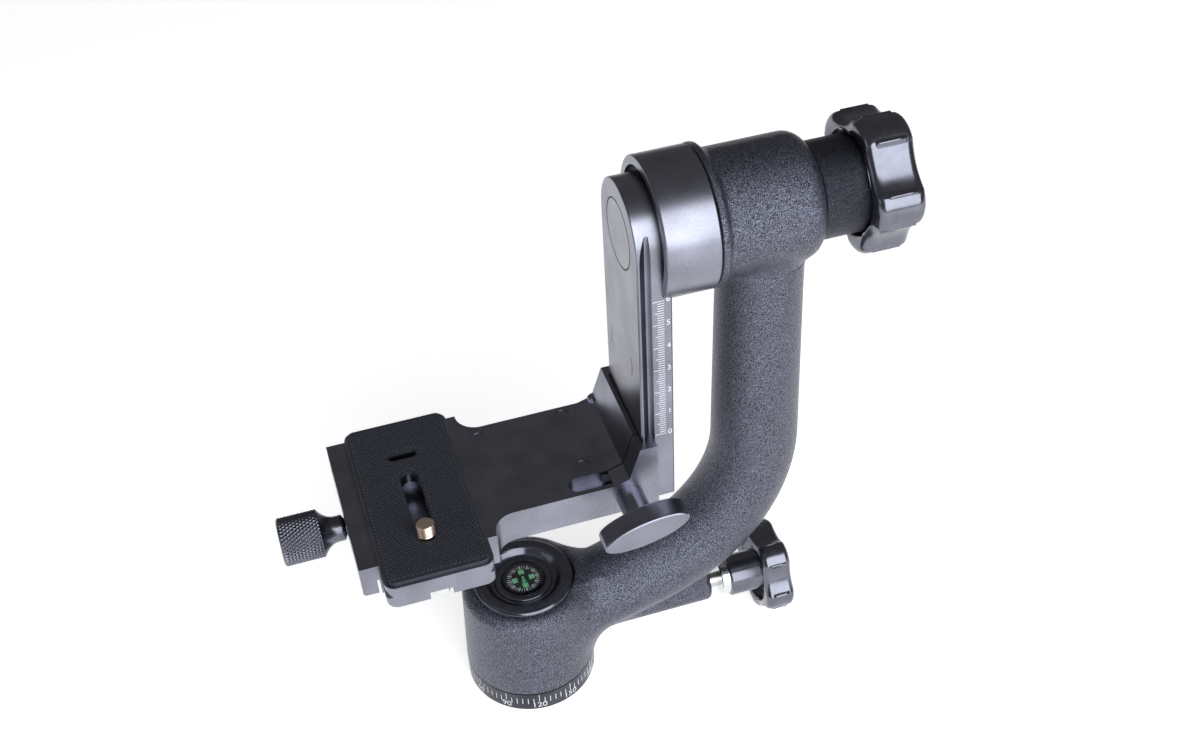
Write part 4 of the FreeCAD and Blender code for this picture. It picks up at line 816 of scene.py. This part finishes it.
def padPyramids():
    p = pad
    step = p["pitch"]
    x, y = np.meshgrid(np.arange(p["left"] + p["border"], p["right"] - p["border"], step / 2),
                       np.arange(p["near"] + p["border"], p["far"] - p["border"], step / 2),
                       indexing="ij")
    i, j = np.meshgrid(*[np.arange(n) for n in x.shape], indexing="ij")
    margin = step / 2 + p["clear"]
    slot = np.hypot(x - p["slotX"], y - np.clip(y, p["slotNear"], p["slotFar"]))
    reach = p["anchorRun"] - p["anchorHalf"]
    anchor = np.hypot(x - p["slotX"] - np.clip(x - p["slotX"], -reach, reach),
                      y - p["anchorY"])
    keep = (((i + j) % 2 == 0) & (slot > p["slotHalf"] + margin)
            & (anchor > p["anchorHalf"] + margin))
    x, y = x[keep], y[keep]
    half, base = step / 2 * p["baseShare"], -p["sunk"]
    offsets = np.array([(-half, 0, base), (0, -half, base), (half, 0, base),
                        (0, half, base), (0, 0, p["rise"])])
    centres = np.stack([x, y, np.full(len(x), p["top"])], 1)
    points = (centres[:, None] + offsets[None]).reshape(-1, 3)
    faces = np.array([(0, 1, 4), (1, 2, 4), (2, 3, 4), (3, 0, 4), (0, 3, 2), (0, 2, 1)])
    corners = (faces[None] + 5 * np.arange(len(x))[:, None, None]).reshape(-1, 3)
    return makeMesh("pad_texture", points, corners)


addPiece("pad_texture", padPyramids(), "plate", rubber, False)
print("pad ready")


# Compass card: ring of ticks, four letters on green patches, and a pointer

dial = {"height": 49.45, "proud": 0.03, "sunk": 0.01, "step": 10, "wideStep": 30,
        "tick": (-0.14, 0.14, 4.9, 6.2), "wideTick": (-0.3, 0.3, 4.5, 6.2),
        "letters": ((0, "N"), (270, "E"), (180, "S"), (90, "W")), "letterRadius": 3.3,
        "letterSize": 1.5, "letterThick": 1.6, "patch": (-1.15, 1.15, 2.2, 4.4),
        "pointer": [(-0.45, 1.2), (-0.45, -1.0), (-1.1, -1.0), (0, -2.3), (1.1, -1.0),
                    (0.45, -1.0), (0.45, 1.2)]}


def onCard(turn, radius=0.0):
    def place(points):
        spin = math.radians(turn)
        x = points[:, 0] * math.cos(spin) - (points[:, 1] + radius) * math.sin(spin)
        y = points[:, 0] * math.sin(spin) + (points[:, 1] + radius) * math.cos(spin)
        thick = dial["proud"] + dial["sunk"]
        return np.stack([x, y, dial["height"] - dial["sunk"] + thick * points[:, 2]], 1)
    return place


for turn in range(0, 360, dial["step"]):
    box = dial["wideTick" if turn % dial["wideStep"] == 0 else "tick"]
    placeMarks(slabs("card_tick", [box]), onCard(turn), "compass_card",
               "card_tick_%d" % turn, whiteInk)
for turn, letter in dial["letters"]:
    placeMarks(slabs("card_patch", [dial["patch"]]), onCard(turn), "compass_card",
               "card_patch_" + letter, greenInk)
    letters = textMesh(letter, dial["letterSize"], thick=dial["letterThick"])
    placeMarks(letters, onCard(turn, dial["letterRadius"]), "compass_card",
               "card_letter_" + letter, whiteInk)
pointer = prism("card_pointer", np.array(dial["pointer"]),
                dial["height"] - dial["sunk"], dial["height"] + dial["proud"])
addPiece("card_pointer", pointer, "compass_card", greenInk, False)
print("dial ready")


# Stage, camera and lights

floor = {"half": 1150.0, "drop": 0.2, "colour": "#f4f4f4", "glow": 0.66}


def makeFloorMaterial():
    # matte white paper sweep that stays white to the camera and in reflections
    material, tree, shader = newMaterial("white_sweep", {"Base Color": linear(floor["colour"]),
                                                         "Roughness": 0.9})
    path = addNode(tree, "ShaderNodeLightPath")
    seen = addNode(tree, "ShaderNodeMath", {0: path.outputs["Is Camera Ray"],
                                            1: path.outputs["Is Glossy Ray"]},
                   operation="MAXIMUM").outputs["Value"]
    seen = addNode(tree, "ShaderNodeMath", {0: seen, 1: path.outputs["Is Transmission Ray"]},
                   operation="MAXIMUM").outputs["Value"]
    glow = addNode(tree, "ShaderNodeMath", {0: seen, 1: floor["glow"]},
                   operation="MULTIPLY").outputs["Value"]
    shader.inputs["Emission Color"].default_value = (1, 1, 1, 1)
    tree.links.new(glow, shader.inputs["Emission Strength"])
    return material


corners = np.array([(-1, -1, 0), (1, -1, 0), (1, 1, 0), (-1, 1, 0)]) * floor["half"]
sweep = makeMesh("floor", corners - (0, 0, floor["drop"]), np.array([[0, 1, 2, 3]]))
sweep.materials.append(makeFloorMaterial())
ground = bpy.data.objects.new("floor", sweep)
bpy.context.scene.collection.objects.link(ground)

view = {"place": (-0.0737009564, -0.397289649, 0.513205273), "lens": 47.157,
        "sensor": 36, "nearest": 0.01, "yaw": math.radians(15.335),
        "down": math.radians(41.825), "roll": math.radians(-3.1196)}


def placement(side, above, ahead, place):
    # matrix of a camera or a lamp, which both look along their own -Z
    matrix = np.eye(4)
    matrix[:3, :] = np.column_stack([side, above, -ahead, place])
    return Matrix(matrix.tolist())


def cameraMatrix():
    yaw, down, roll = view["yaw"], view["down"], view["roll"]
    ahead = np.array([math.sin(yaw) * math.cos(down), math.cos(yaw) * math.cos(down),
                      -math.sin(down)])
    level = np.array([math.cos(yaw), -math.sin(yaw), 0])
    side = level * math.cos(roll) + np.cross(level, ahead) * math.sin(roll)
    return placement(side, np.cross(side, ahead), ahead, view["place"])


lens = bpy.data.cameras.new("camera")
lens.sensor_width = view["sensor"]
lens.lens = view["lens"]
lens.clip_start = view["nearest"]
camera = bpy.data.objects.new("camera", lens)
camera.matrix_world = cameraMatrix()
bpy.context.scene.collection.objects.link(camera)
bpy.context.scene.camera = camera

softboxes = {"front": {"place": (0.28, -1.2, 0.78), "aim": (0.03, 0, 0.25), "wide": 1.6,
                       "tall": 1.45, "level": 4.0},
             "left": {"place": (-1.4, -0.1, 0.45), "aim": (0.0, 0, 0.1), "wide": 1.0,
                      "tall": 0.6, "level": 0.7}}
lampColour = (0.94, 0.965, 1.0)
for name, box in softboxes.items():
    lamp = bpy.data.lights.new("softbox_" + name, "AREA")
    lamp.shape = "RECTANGLE"
    lamp.size = box["wide"]
    lamp.size_y = box["tall"]
    lamp.energy = box["level"] * math.pi * box["wide"] * box["tall"]
    lamp.color = lampColour
    holder = bpy.data.objects.new("softbox_" + name, lamp)
    toward = np.array(box["aim"]) - np.array(box["place"])
    toward /= np.linalg.norm(toward)
    side = np.cross(toward, [0, 0, 1])
    side /= np.linalg.norm(side)
    holder.matrix_world = placement(side, np.cross(side, toward), toward, box["place"])
    bpy.context.scene.collection.objects.link(holder)

world = bpy.data.worlds.new("studio")
world.use_nodes = True
world.node_tree.nodes.clear()
seen = addNode(world.node_tree, "ShaderNodeLightPath").outputs["Is Camera Ray"]
ambient = 0.13
strength = ramp(world.node_tree, seen, 0.0, 1.0, ambient, 1.0)
air = addNode(world.node_tree, "ShaderNodeBackground", {"Color": (1, 1, 1, 1),
                                                        "Strength": strength})
addNode(world.node_tree, "ShaderNodeOutputWorld", {"Surface": air.outputs["Background"]})
bpy.context.scene.world = world
bpy.context.scene.view_settings.view_transform = "Standard"
print("stage ready")
